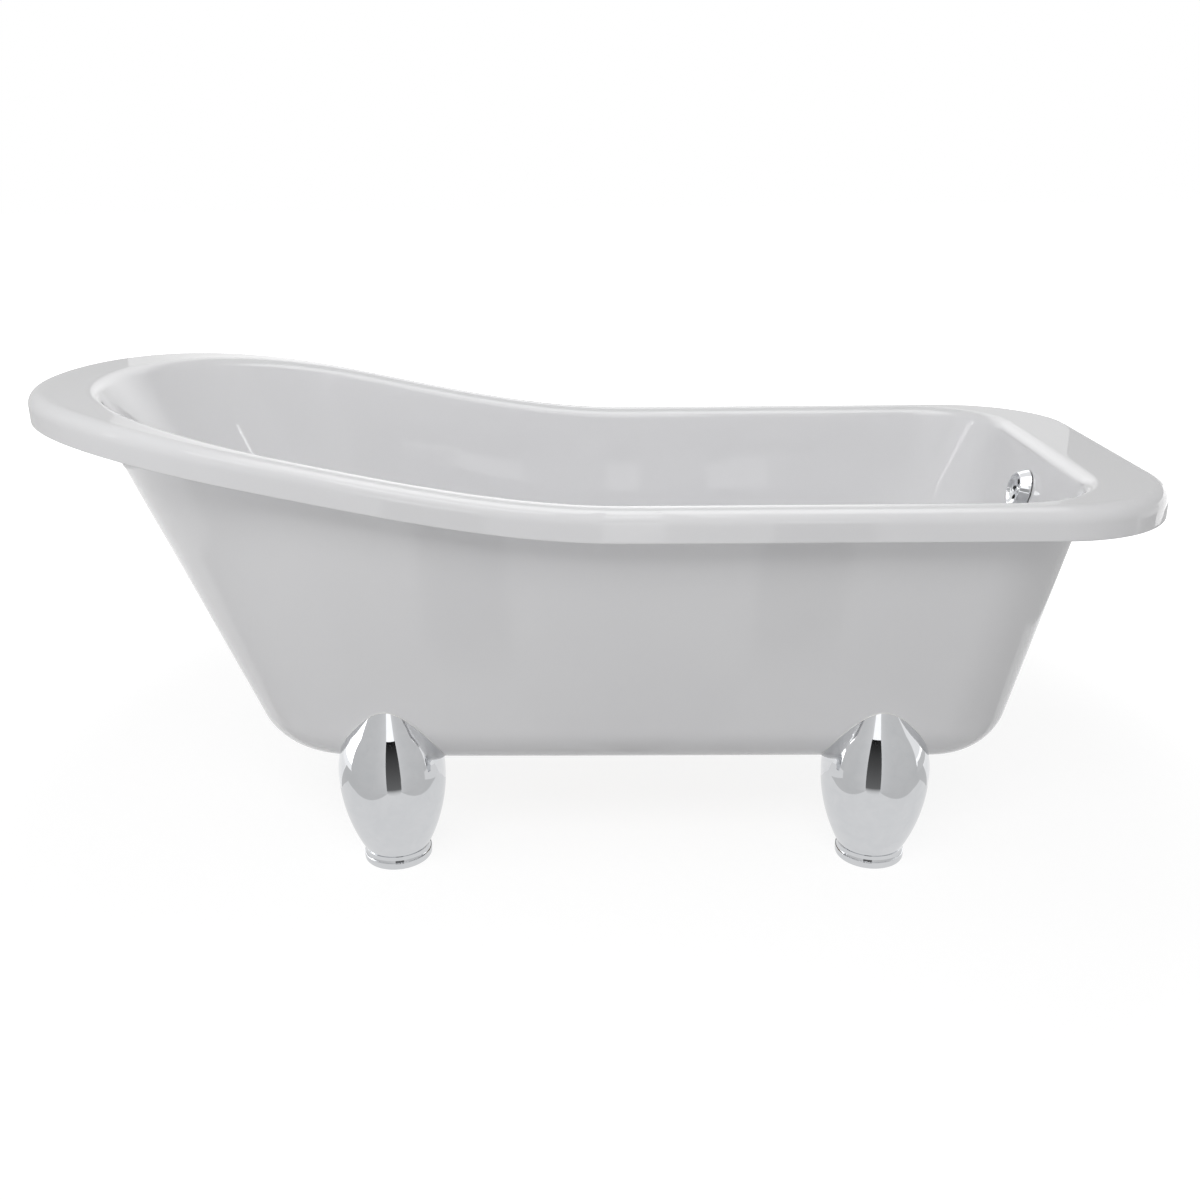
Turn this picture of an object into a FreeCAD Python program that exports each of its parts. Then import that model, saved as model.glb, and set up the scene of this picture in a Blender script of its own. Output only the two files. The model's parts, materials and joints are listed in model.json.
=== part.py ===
import FreeCAD, Part
import math
import os
import Sketcher

# Free-standing slipper bath in twin-skinned acrylic on four egg-shaped chromed feet.
# Frame: +Z up, floor at z = 0; X along the bath, raised slipper end at -X, overflow
# end at +X; Y across. Lengths are millimetres.

V = FreeCAD.Vector
doc = FreeCAD.newDocument("slipper_bath")
sheet = doc.addObject("Spreadsheet::Sheet", "Sizes")

SIZES = [
    # rim
    ("rim_length", 1700), ("rim_width", 750), ("rim_height", 600), ("slipper_rise", 130),
    ("sheer_start", 70), ("sheer_end_inset", 5), ("skirt_drop", 46), ("outer_roll", 22),
    ("inner_roll", 16), ("rim_tip_length", 422), ("rim_tip_power", 2.12), ("rim_corner", 196),
    # basin
    ("shell_wall", 5), ("opening_tip_rim", 100), ("opening_deck", 117), ("opening_side_rim", 44),
    ("opening_tip_length", 350), ("opening_corner", 140), ("basin_tip_slope", 295),
    ("basin_end_slope", 95), ("basin_side_slope", 103), ("floor_tip_length", 260),
    ("floor_corner", 190),
    ("basin_bilge", 110), ("floor_fall", 0.005),
    # outer skin
    ("skin_wall", 5), ("skin_level", 149), ("skin_tip_gap", 63), ("skin_end_gap", 28),
    ("skin_side_gap", 27), ("skin_tip_length", 200), ("skin_tip_power", 2.6),
    ("skin_bow", 900), ("skin_corner", 120), ("skin_top_tip_gap", 6), ("skin_top_end_gap", 28),
    ("skin_top_side_gap", 11), ("skin_top_tip_length", 410), ("skin_top_bow", 750),
    ("skin_top_corner", 155),
    ("skin_bilge", 95), ("flange_lift", 2), ("flange_thick", 5),
    ("hatch_from_waste", 58), ("hatch_from_end", 32), ("hatch_half_width", 58),
    ("hatch_corner", 18),
    # base board
    ("board_thick", 18), ("board_nose_from_foot", 69), ("board_past_foot", 70),
    ("board_inset", 94), ("board_corner", 80), ("notch_from_waste", 64), ("notch_half_width", 62),
    # feet
    ("foot_from_tip", 218), ("foot_from_end", 216), ("foot_inset", 10), ("foot_wall", 5),
    ("foot_base", 50), ("foot_ring", 53), ("foot_ring_edge", 3), ("foot_ring_top", 12),
    ("foot_neck_low", 17), ("foot_neck_high", 20), ("foot_belly", 82.5),
    ("foot_belly_level", 151), ("foot_lower_arc", 280), ("foot_upper_arc", 126),
    ("foot_shoulder", 226), ("foot_top", 275), ("foot_recess", 30), ("foot_recess_depth", 18),
    ("foot_web", 8), ("foot_boss", 14), ("foot_boss_height", 18),
    ("tongue_width", 56), ("tongue_thick", 10), ("tongue_past_bolt", 22), ("rib_width", 8),
    ("rib_depth", 22), ("rib_from_bolt", 24), ("gasket_thick", 1),
    ("bolt_spread", 36), ("bolt_inset", 46), ("bolt_shank", 5), ("bolt_head", 9.8),
    ("bolt_head_height", 6.4), ("bolt_hole", 5.5), ("washer_radius", 11), ("washer_thick", 2),
    ("insert_radius", 6.5), ("insert_flange", 12), ("insert_flange_thick", 1.5),
    ("insert_length", 14), ("thread_gap", 0.05),
    # levelling adjusters
    ("stud_radius", 6), ("stud_gap", 0.05), ("stud_top", 70), ("stud_low", 4.5),
    ("stud_hex", 8.6), ("pad_radius", 27), ("pad_lift", 0.5), ("pad_thick", 4),
    ("pad_height", 8), ("pad_neck", 11), ("nut_radius", 11), ("nut_thick", 6),
    # overflow
    ("overflow_drop", 76), ("overflow_hole", 27), ("bezel_radius", 36), ("bezel_front", 28),
    ("bezel_depth", 18), ("bezel_wall", 4), ("bezel_dish", 9), ("bezel_hole", 4.2),
    ("bezel_pitch", 15), ("seal_front", 1.5), ("seal_rear", 2), ("cup_radius", 30),
    ("cup_bore", 24), ("cup_flange", 36), ("cup_flange_thick", 2.5), ("cup_depth", 27),
    ("cup_floor", 3), ("spout_radius", 8.5), ("spout_bore", 6), ("spout_length", 75),
    ("spout_level", 17.7), ("screw_radius", 3), ("screw_head", 6),
    ("hose_wall", 2.2), ("hose_fit", 0.1), ("clip_wall", 0.8), ("clip_width", 9),
    # waste
    ("waste_from_end", 208), ("waste_hole", 26), ("waste_recess", 37), ("waste_recess_drop", 1.6),
    ("waste_seal_thick", 1.5), ("waste_flange_radius", 35), ("waste_flange_thick", 4),
    ("waste_mouth", 27.5), ("waste_ledge", 2.2), ("waste_bore", 21), ("waste_barrel", 23.9),
    ("waste_barrel_length", 23), ("lower_seal_thick", 3), ("body_flange", 36),
    ("body_flange_thick", 4), ("body_radius", 29), ("body_depth", 59),
    ("tail_length", 35), ("tail_radius", 23.9), ("tail_bore", 20), ("inlet_rise", 20),
    ("inlet_length", 42), ("spider_rise", 6), ("spider_thick", 6), ("spider_boss", 11),
    ("spider_arm", 4), ("cartridge_radius", 7.5), ("cartridge_drop", 17), ("cartridge_rise", 4),
    ("spindle_radius", 4.5), ("spindle_drop", 10), ("plug_radius", 27), ("plug_gap", 0.1),
    ("plug_seal_thick", 1.5), ("plug_seal_radius", 26.8), ("plug_hub", 19.8),
    ("plug_rim_thick", 1.3), ("plug_dome", 3.2),
]
for row, (alias, value) in enumerate(SIZES, 1):
    sheet.set("A%d" % row, alias)
    sheet.set("B%d" % row, str(value))
    sheet.setAlias("B%d" % row, alias)
doc.recompute()


class Q:
    """A size: its value now and the text that binds it to the sheet."""

    def __init__(self, value, text):
        self.v, self.t = float(value), text

    def __add__(self, other):
        o = q(other)
        return Q(self.v + o.v, "(%s + %s)" % (self.t, o.t))

    def __sub__(self, other):
        o = q(other)
        return Q(self.v - o.v, "(%s - %s)" % (self.t, o.t))

    def __mul__(self, other):
        o = q(other)
        return Q(self.v * o.v, "(%s * %s)" % (self.t, o.t))

    def __truediv__(self, other):
        o = q(other)
        return Q(self.v / o.v, "(%s / %s)" % (self.t, o.t))

    def __neg__(self):
        return Q(-self.v, "(0 - %s)" % self.t)

    __radd__ = __add__

    def __rsub__(self, other):
        return q(other) - self

    __rmul__ = __mul__


def q(x):
    return x if isinstance(x, Q) else Q(x, "%.9g" % x if x >= 0 else "(0 - %.9g)" % -x)


def size(name):
    return Q(sheet.get(name), "Sizes." + name)


def root(x):
    return Q(math.sqrt(x.v), "sqrt(%s)" % x.t)


def sine(x):
    return Q(math.sin(math.radians(x.v)), "sin(%s * 1deg)" % x.t)


def cosine(x):
    return Q(math.cos(math.radians(x.v)), "cos(%s * 1deg)" % x.t)


def number(name):
    return float(sheet.get(name))


S = size
# the basin's floor rests on the base board, and the board on the outer skin
FLOOR = S("skin_level") + S("skin_wall") + S("board_thick") + S("shell_wall")
BODY_FLOOR = FLOOR - S("body_depth")
INLET = BODY_FLOOR + S("inlet_rise")
# plan places: rim, opening, floor and outer skin follow one another outwards and down
HALF_L, HALF_W = S("rim_length") / 2, S("rim_width") / 2
OPEN_TIP = HALF_L - S("opening_tip_rim")
OPEN_END = HALF_L - S("opening_deck")
OPEN_SIDE = HALF_W - S("opening_side_rim")
FLOOR_TIP = OPEN_TIP - S("basin_tip_slope")
FLOOR_END = OPEN_END - S("basin_end_slope")
FLOOR_SIDE = OPEN_SIDE - S("basin_side_slope")
SKIN_TIP = FLOOR_TIP + S("skin_tip_gap")
SKIN_END = FLOOR_END + S("skin_end_gap")
SKIN_SIDE = FLOOR_SIDE + S("skin_side_gap")
WASTE = FLOOR_END - S("waste_from_end")
FOOT_X = {"slipper": S("foot_from_tip") - SKIN_TIP, "tap": SKIN_END - S("foot_from_end")}
FOOT_Y = SKIN_SIDE - S("foot_inset")
BOARD_Y = FLOOR_SIDE - S("board_inset")
BOLT_Y = BOARD_Y - S("bolt_inset")


def place(obj, x, y, z, angle=None, axis=V(0, 0, 1)):
    turn = FreeCAD.Rotation(axis, q(angle).v if angle is not None else 0)
    obj.Placement = FreeCAD.Placement(V(q(x).v, q(y).v, q(z).v), turn)
    for name, value in (("x", x), ("y", y), ("z", z)):
        obj.setExpression("Placement.Base." + name, q(value).t)
    if isinstance(angle, Q):
        obj.setExpression("Placement.Rotation.Angle", angle.t)
    return obj


def box(name, x0, x1, y0, y1, z0, z1):
    o = doc.addObject("Part::Box", name)
    for prop, a, b in (("Length", x0, x1), ("Width", y0, y1), ("Height", z0, z1)):
        d = q(b) - q(a)
        setattr(o, prop, d.v)
        o.setExpression(prop, d.t)
    return place(o, x0, y0, z0)


def cylinder(name, r, height, x, y, z, axis=None, angle=None):
    o = doc.addObject("Part::Cylinder", name)
    for prop, value in (("Radius", r), ("Height", height)):
        setattr(o, prop, q(value).v)
        o.setExpression(prop, q(value).t)
    if axis is None:
        return place(o, x, y, z)
    return place(o, x, y, z, q(angle), axis)


def hexagon(name, r, height, x, y, z):
    o = doc.addObject("Part::Prism", name)
    o.Polygon = 6
    for prop, value in (("Circumradius", r), ("Height", height)):
        setattr(o, prop, q(value).v)
        o.setExpression(prop, q(value).t)
    return place(o, x, y, z)


def fuse(name, shapes):
    o = doc.addObject("Part::MultiFuse", name)
    o.Shapes = shapes
    return o


def group(name, shapes):
    o = doc.addObject("Part::Compound", name)
    o.Links = shapes
    return o


def cut(name, base, tool):
    o = doc.addObject("Part::Cut", name)
    o.Base, o.Tool = base, tool
    return o


def common(name, a, b):
    o = doc.addObject("Part::Common", name)
    o.Base, o.Tool = a, b
    return o


def plane(body, role):
    return [f for f in body.Origin.OriginFeatures if f.Role == role][0]


def profile(body, name, points, role="XZ_Plane"):
    """Closed profile: each point is (x, y) or (x, y, radius, side) when the segment
    that leaves it is an arc; side is +1 when the arc bulges to the right of travel."""
    sk = body.newObject("Sketcher::SketchObject", name)
    sk.AttachmentSupport = [(plane(body, role), "")]
    sk.MapMode = "FlatFace"
    n = len(points)
    ends = []
    for i, p in enumerate(points):
        a, b = p, points[(i + 1) % n]
        A, B = V(q(a[0]).v, q(a[1]).v, 0), V(q(b[0]).v, q(b[1]).v, 0)
        if len(p) == 2:
            g = sk.addGeometry(Part.LineSegment(A, B), False)
            ends.append((g, 1, 2))
            continue
        r = q(p[2]).v
        chord = B - A
        half = chord.Length / 2
        right = V(chord.y, -chord.x, 0).normalize() * p[3]
        sag = r - math.sqrt(max(r * r - half * half, 0))
        M = (A + B) * 0.5 + right * sag
        g = sk.addGeometry(Part.ArcOfCircle(A, M, B), False)
        first = sk.Geometry[g].StartPoint.distanceToPoint(A) < 1e-6
        ends.append((g, 1, 2) if first else (g, 2, 1))
    cons = []
    for i, p in enumerate(points):
        g, s, e = ends[i]
        g2, s2, e2 = ends[(i + 1) % n]
        cons.append((Sketcher.Constraint("Coincident", g, e, g2, s2), None))
        for kind, value, line in (("DistanceX", q(p[0]), -2), ("DistanceY", q(p[1]), -1)):
            if abs(value.v) < 1e-9:
                cons.append((Sketcher.Constraint("PointOnObject", g, s, line), None))
            elif value.v > 0:
                cons.append((Sketcher.Constraint(kind, -1, 1, g, s, value.v), value.t))
            else:
                cons.append((Sketcher.Constraint(kind, g, s, -1, 1, -value.v), (-value).t))
        if len(p) > 2:
            cons.append((Sketcher.Constraint("Radius", g, q(p[2]).v), q(p[2]).t))
    for c, text in cons:
        k = sk.addConstraint(c)
        if text:
            sk.setExpression("Constraints[%d]" % k, text)
    return sk


def turned(name, points, x=0, y=0, z=0, angle=None, axis=V(0, 1, 0)):
    """A turned piece: the profile (radius, level) spun round the vertical axis."""
    body = doc.addObject("PartDesign::Body", name)
    sk = profile(body, name + "_profile", points)
    rev = body.newObject("PartDesign::Revolution", name + "_turn")
    rev.Profile = sk
    rev.ReferenceAxis = (sk, ["V_Axis"])
    rev.Angle = 360.0
    body.Tip = rev
    place(body, x, y, z, angle, axis)
    return body


def drilled(body, name, circles, level, depth):
    """Round pockets: circles are (x, y, radius) in the body's own plane."""
    sk = body.newObject("Sketcher::SketchObject", name)
    sk.AttachmentSupport = [(plane(body, "XY_Plane"), "")]
    sk.MapMode = "FlatFace"
    sk.AttachmentOffset = FreeCAD.Placement(V(0, 0, q(level).v), FreeCAD.Rotation())
    sk.setExpression("AttachmentOffset.Base.z", q(level).t)
    for x, y, r in circles:
        g = sk.addGeometry(Part.Circle(V(q(x).v, q(y).v, 0), V(0, 0, 1), q(r).v), False)
        for kind, value, line in (("DistanceX", q(x), -2), ("DistanceY", q(y), -1)):
            if abs(value.v) < 1e-6:
                sk.addConstraint(Sketcher.Constraint("PointOnObject", g, 3, line))
                continue
            if value.v > 0:
                k = sk.addConstraint(Sketcher.Constraint(kind, -1, 1, g, 3, value.v))
                sk.setExpression("Constraints[%d]" % k, value.t)
            else:
                k = sk.addConstraint(Sketcher.Constraint(kind, g, 3, -1, 1, -value.v))
                sk.setExpression("Constraints[%d]" % k, (-value).t)
        k = sk.addConstraint(Sketcher.Constraint("Radius", g, q(r).v))
        sk.setExpression("Constraints[%d]" % k, q(r).t)
    p = body.newObject("PartDesign::Pocket", name + "_cut")
    p.Profile = sk
    p.Length = q(depth).v
    p.setExpression("Length", q(depth).t)
    p.Reversed = False
    body.Tip = p
    return p


# ---------------------------------------------------------------- free-form skins
# The rim follows a sheer line and the walls run straight between a floor outline and
# an outline at rim level; no primitive holds such a surface, so the two skins and the
# hull form are built patch by patch from closed loops that share one parametrisation.

RIM_TOP, RISE = number("rim_height"), number("slipper_rise")
SHEER_A = number("sheer_start")
SHEER_B = -number("rim_length") / 2 + number("sheer_end_inset")
COUNT = dict(end=6, corner=14, side=16, tip=22)


def sheer(x):
    k = min(max((SHEER_A - x) / (SHEER_A - SHEER_B), 0.0), 1.0)
    return RIM_TOP + RISE * k * k * (3 - 2 * k)


def half(points):
    return points + [(x, -y) for x, y in points[-2:0:-1]]


def tip_points(xl, b, a, n):
    out = []
    for i in range(COUNT["tip"]):
        w = math.pi / 2 * i / COUNT["tip"]
        out.append((xl + a - a * math.sin(w) ** (2 / n), b * math.cos(w) ** (2 / n)))
    return out + [(xl, 0.0)]


def outline_square(xl, xr, b, a, n, r):
    """Plan outline: superelliptic tip at xl, straight end with round corners at xr."""
    out = [(xr, (b - r) * i / COUNT["end"]) for i in range(COUNT["end"])]
    for i in range(COUNT["corner"]):
        w = math.pi / 2 * i / COUNT["corner"]
        out.append((xr - r + r * math.cos(w), b - r + r * math.sin(w)))
    for i in range(COUNT["side"]):
        out.append((xr - r + (xl + a - xr + r) * i / COUNT["side"], b))
    return half(out + tip_points(xl, b, a, n))


def outline_bowed(xl, xr, b, a, n, bow, r):
    """Plan outline: superelliptic tip at xl, bowed end with round corners at xr."""
    cy = b - r
    cx = xr - bow + math.sqrt((bow - r) ** 2 - cy * cy)
    turn = math.atan2(cy, cx - (xr - bow))
    out = []
    for i in range(COUNT["end"]):
        w = turn * i / COUNT["end"]
        out.append((xr - bow + bow * math.cos(w), bow * math.sin(w)))
    for i in range(COUNT["corner"]):
        w = turn + (math.pi / 2 - turn) * i / COUNT["corner"]
        out.append((cx + r * math.cos(w), cy + r * math.sin(w)))
    for i in range(COUNT["side"]):
        out.append((cx + (xl + a - cx) * i / COUNT["side"], b))
    return half(out + tip_points(xl, b, a, n))


class Loops:
    """Closed loops that share the parameters of one guide outline."""

    def __init__(self, plan):
        run = [0.0]
        ring = plan + [plan[0]]
        for a, b in zip(ring[:-1], ring[1:]):
            run.append(run[-1] + math.hypot(a[0] - b[0], a[1] - b[1]))
        self.par = [r / run[-1] for r in run]

    def spline(self, row):
        c = Part.BSplineCurve()
        c.interpolate(Points=[V(*p) for p in row], PeriodicFlag=True, Parameters=self.par)
        return c

    def patch(self, rows):
        """Surface through the loops, a Bezier row by row across them."""
        curves = [self.spline(r) for r in rows]
        poles = [c.getPoles() for c in curves]
        grid = [[p[i] for p in poles] for i in range(len(poles[0]))]
        m = len(rows)
        s = Part.BSplineSurface()
        s.buildFromPolesMultsKnots(grid, curves[0].getMultiplicities(), [m, m],
                                   curves[0].getKnots(), [0.0, 1.0], True, False, 3, m - 1)
        return s.toShape()

    def cap(self, row):
        return Part.Face(Part.Wire([self.spline(row).toShape()]))

    def normals(self, plan):
        c = self.spline([(x, y, 0.0) for x, y in plan])
        out = []
        for u in self.par[:-1]:
            d = c.tangent(u)[0]
            out.append((d.y, -d.x))
        return out


def arc_rows(first, corner, last, turns):
    """Loops of a round between two tangent directions that meet in corner."""
    rows = [[], [], [], []]
    for a, b, c, w in zip(first, corner, last, turns):
        k = 4 / 3 * math.tan(w / 4) / math.tan(w / 2)
        rows[0].append(a)
        rows[1].append(tuple(a[i] + (b[i] - a[i]) * k for i in range(3)))
        rows[2].append(tuple(c[i] + (b[i] - c[i]) * k for i in range(3)))
        rows[3].append(c)
    return rows


class Wall:
    """Straight-ruled wall from a floor outline to an outline at the sheer plus lift;
    out moves it outwards and down by that thickness."""

    def __init__(self, loops, low, level, high, lift, out=0.0):
        self.nb, self.nt = loops.normals(low), loops.normals(high)
        self.low, self.high, self.lean_low, self.lean_high = [], [], [], []
        for (x0, y0), (x1, y1), n0, n1 in zip(low, high, self.nb, self.nt):
            top = sheer(x1) + lift
            rise = top - level
            b0 = math.atan(((x1 - x0) * n0[0] + (y1 - y0) * n0[1]) / rise)
            b1 = math.atan(((x1 - x0) * n1[0] + (y1 - y0) * n1[1]) / rise)
            g0 = out * (1 - math.sin(b0)) / math.cos(b0)
            g1 = out * (1 - math.sin(b1)) / math.cos(b1)
            self.low.append((x0 + n0[0] * g0, y0 + n0[1] * g0, level - out))
            self.high.append((x1 + n1[0] * g1, y1 + n1[1] * g1, top - out))
            self.lean_low.append(b0)
            self.lean_high.append(b1)

    def along(self, i):
        d = [self.high[i][k] - self.low[i][k] for k in range(3)]
        size_ = math.sqrt(sum(c * c for c in d))
        return [c / size_ for c in d]

    def bilge(self, r):
        a, c, w = [], [], []
        for i, b in enumerate(self.low):
            turn = math.pi / 2 - self.lean_low[i]
            reach = r * math.tan(turn / 2)
            n, u = self.nb[i], self.along(i)
            a.append((b[0] - n[0] * reach, b[1] - n[1] * reach, b[2]))
            c.append(tuple(b[k] + u[k] * reach for k in range(3)))
            w.append(turn)
        return arc_rows(a, self.low, c, w)

    def roll(self, r):
        a, c, w = [], [], []
        for i, t in enumerate(self.high):
            turn = math.pi / 2 - self.lean_high[i]
            reach = r * math.tan(turn / 2)
            n, u = self.nt[i], self.along(i)
            x, y = t[0] + n[0] * reach, t[1] + n[1] * reach
            a.append(tuple(t[k] - u[k] * reach for k in range(3)))
            c.append((x, y, t[2] + sheer(x) - sheer(t[0])))
            w.append(turn)
        return arc_rows(a, self.high, c, w)


def rim_roll(plan, normals, lift, r):
    """Rounded outer edge of the rim, from the deck down to the skirt."""
    a, b, c = [], [], []
    for (x, y), n in zip(plan, normals):
        xi, yi = x - n[0] * r, y - n[1] * r
        a.append((xi, yi, sheer(xi) + lift))
        b.append((x, y, sheer(x) + lift))
        c.append((x, y, sheer(x) + lift - r))
    return arc_rows(a, b, c, [math.pi / 2] * len(plan))


def closed(faces):
    shell = Part.makeShell(faces)
    shell.sewShape()
    if shell.ShapeType != "Shell":
        shell = shell.Shells[0]
    s = Part.Solid(shell)
    if s.Volume < 0:
        s.reverse()
    return s


def one(shape):
    return shape.Solids[0] if len(shape.Solids) == 1 else shape


half_l, half_w = HALF_L.v, HALF_W.v
wall = number("shell_wall")
rim_out = outline_square(-half_l, half_l, half_w, number("rim_tip_length"),
                         number("rim_tip_power"), number("rim_corner"))
loops = Loops(rim_out)
rim_normals = loops.normals(rim_out)
rim_in = [(x - n[0] * wall, y - n[1] * wall) for (x, y), n in zip(rim_out, rim_normals)]
opening = outline_square(-OPEN_TIP.v, OPEN_END.v, OPEN_SIDE.v, number("opening_tip_length"), 2.1,
                         number("opening_corner"))
floor_plan = outline_square(-FLOOR_TIP.v, FLOOR_END.v, FLOOR_SIDE.v,
                            number("floor_tip_length"), 2.0, number("floor_corner"))
LEVEL = FLOOR.v
BILGE = number("basin_bilge")
WASTE_X = WASTE.v


def sheet_faces(rim, out, fall):
    """The upper (out = 0) or under (out = wall) side of the bath's one-piece sheet."""
    w = Wall(loops, floor_plan, LEVEL, opening, 0.0, out)
    outer = rim_roll(rim, loops.normals(rim), -out, number("outer_roll") - out)
    inner = w.roll(number("inner_roll") - min(out, number("inner_roll") - 4))
    low = w.bilge(BILGE + out)
    if fall:
        tilt = number("floor_fall")
        sloped = []
        for row in low:
            new = []
            for x, y, z in row:
                k = min(max(1 - (z - LEVEL) / BILGE, 0.0), 1.0)
                new.append((x, y, z + k * tilt * (WASTE_X - x)))
            sloped.append(new)
        low = sloped
    skirt = [(x, y, sheer(x) - number("skirt_drop")) for x, y in rim]
    return [loops.patch([skirt, outer[3]]), loops.patch(outer[::-1]),
            loops.patch([outer[0], inner[3]]), loops.patch(inner[::-1]),
            loops.patch([inner[0], low[3]]), loops.patch(low[::-1]), loops.cap(low[0])], skirt


top_faces, top_skirt = sheet_faces(rim_out, 0.0, True)
under_faces, under_skirt = sheet_faces(rim_in, wall, False)
shell_shape = closed(top_faces + under_faces + [loops.patch([top_skirt, under_skirt])])

# the overflow sits square to the tap-end wall: lean of that wall in the long plane
END_TOP = OPEN_END.v
LEAN = math.atan((END_TOP - FLOOR_END.v) / (RIM_TOP - LEVEL))
over_z = RIM_TOP - number("overflow_drop")
over_x = END_TOP - math.tan(LEAN) * (RIM_TOP - over_z)
over_axis = V(-math.cos(LEAN), 0, math.sin(LEAN))
over_up = V(math.sin(LEAN), 0, math.cos(LEAN))
over_at = V(over_x, 0, over_z)


def over_point(up, out):
    return over_at + over_up * up + over_axis * out


shell_shape = shell_shape.cut(Part.makeCylinder(number("overflow_hole"), 60,
                                                over_point(0, -30), over_axis))
seat = LEVEL - number("waste_recess_drop")
shell_shape = shell_shape.cut(Part.makeCylinder(number("waste_recess"), 20, V(WASTE_X, 0, seat)))
shell_shape = shell_shape.cut(Part.makeCylinder(number("waste_hole"), 60, V(WASTE_X, 0, LEVEL - 30)))

inner_shell = doc.addObject("Part::Feature", "inner_shell")
inner_shell.Shape = one(shell_shape)

skin_low = outline_bowed(-SKIN_TIP.v, SKIN_END.v, SKIN_SIDE.v, number("skin_tip_length"),
                         number("skin_tip_power"), number("skin_bow"), number("skin_corner"))
skin_high = outline_bowed(-OPEN_TIP.v - number("skin_top_tip_gap"),
                          OPEN_END.v + number("skin_top_end_gap"),
                          OPEN_SIDE.v + number("skin_top_side_gap"),
                          number("skin_top_tip_length"), 2.1, number("skin_top_bow"),
                          number("skin_top_corner"))
SKIN_Z = number("skin_level")
SKIN_LIFT = -number("skirt_drop") + number("flange_lift")
skin = number("skin_wall")


def hull(out):
    """Solid inside the outer skin's outer face, moved outwards by out."""
    w = Wall(loops, skin_low, SKIN_Z, skin_high, SKIN_LIFT, out)
    low = w.bilge(number("skin_bilge") + out)
    flat = number("foot_top") + 60
    ring = []
    for i, p in enumerate(low[3]):
        k = (flat - p[2]) / (w.high[i][2] - p[2])
        ring.append(tuple(p[j] + (w.high[i][j] - p[j]) * k for j in range(3)))
    return closed([loops.cap(low[0]), loops.patch(low), loops.patch([low[3], ring]),
                   loops.cap(ring)])


w_out = Wall(loops, skin_low, SKIN_Z, skin_high, SKIN_LIFT)
w_in = Wall(loops, skin_low, SKIN_Z, skin_high, SKIN_LIFT, -skin)
b_out, b_in = w_out.bilge(number("skin_bilge")), w_in.bilge(number("skin_bilge") - skin)
thick = number("flange_thick")
edge_low = [(x, y, sheer(x) + SKIN_LIFT) for x, y in rim_in]
edge_high = [(x, y, sheer(x) + SKIN_LIFT + thick) for x, y in rim_in]
mouth_out = [(x, y, sheer(x) + SKIN_LIFT) for x, y, z in w_out.high]
mouth_in = [(x, y, sheer(x) + SKIN_LIFT + thick) for x, y, z in w_in.high]
skin_shape = closed([loops.patch([edge_low, edge_high]), loops.patch([edge_high, mouth_in]),
                     loops.patch([mouth_in, b_in[3]]), loops.patch(b_in[::-1]),
                     loops.cap(b_in[0]), loops.patch([edge_low, mouth_out]),
                     loops.patch([mouth_out, b_out[3]]), loops.patch(b_out[::-1]),
                     loops.cap(b_out[0])])
hatch_start = WASTE_X - number("hatch_from_waste")
hatch = Part.makeBox(SKIN_END.v - number("hatch_from_end") - hatch_start,
                     2 * number("hatch_half_width"), 60,
                     V(hatch_start, -number("hatch_half_width"), SKIN_Z - 30))
hatch = hatch.makeFillet(number("hatch_corner"),
                         [e for e in hatch.Edges if abs(e.tangentAt(e.FirstParameter).z) > 0.9])
skin_shape = skin_shape.cut(hatch)
drill = []
for at in FOOT_X.values():
    for side in (-1, 1):
        for step in (-0.5, 0.5):
            drill.append(Part.makeCylinder(number("bolt_hole"), 40,
                                           V(at.v + step * number("bolt_spread"),
                                             side * BOLT_Y.v, SKIN_Z - 10)))
skin_shape = skin_shape.cut(Part.makeCompound(drill))
outer_skin = doc.addObject("Part::Feature", "outer_skin")
outer_skin.Shape = one(skin_shape)

hull_form = doc.addObject("Part::Feature", "hull_form")
hull_form.Shape = hull(0.0)
hull_gap = doc.addObject("Part::Feature", "hull_gap")
hull_gap.Shape = hull(number("gasket_thick"))

# overflow hose: from the spout behind the tap-end wall, between the skins, round the
# bilge and through the hatch to the inlet of the waste body
hose_in = number("spout_radius") + number("hose_fit")
hose_out = hose_in + number("hose_wall")
s0 = over_point(-number("spout_length") + 33, -number("spout_level"))
s1 = over_point(-number("spout_length"), -number("spout_level"))
inlet_z = INLET.v
inlet_tip = WASTE_X + number("body_radius") + number("inlet_length")
bilge_at = V(FLOOR_END.v - BILGE * math.tan((math.pi / 2 - LEAN) / 2), 0, LEVEL + BILGE)
swing = BILGE + number("spout_level")
low_wall = s1 - over_up * (s1.z - (LEVEL + BILGE + 17)) * (1 / math.cos(LEAN))


def round_bilge(turn, out):
    return bilge_at + V((swing + out) * math.cos(turn), 0, -(swing + out) * math.sin(turn))


path_points = [s1, (s1 + low_wall) * 0.5, low_wall, round_bilge(0.22, 0), round_bilge(0.80, 5.5),
               round_bilge(1.17, 8.5), V(inlet_tip + 62, 0, inlet_z + 4.5),
               V(inlet_tip + 8, 0, inlet_z)]
curve = Part.BSplineCurve()
curve.interpolate(Points=path_points, InitialTangent=over_up * -1, FinalTangent=V(-1, 0, 0))


def tube(path, start, direction, r):
    ring = Part.Wire([Part.Circle(start, direction, r).toShape()])
    return path.makePipeShell([ring], True, False)


path = Part.Wire([Part.makeLine(s0, s1), curve.toShape(),
                  Part.makeLine(V(inlet_tip + 8, 0, inlet_z), V(inlet_tip - 25, 0, inlet_z))])
hose_shape = tube(path, s0, over_up * -1, hose_out).cut(tube(path, s0, over_up * -1, hose_in))
overflow_hose = doc.addObject("Part::Feature", "overflow_hose")
overflow_hose.Shape = one(hose_shape)

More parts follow.
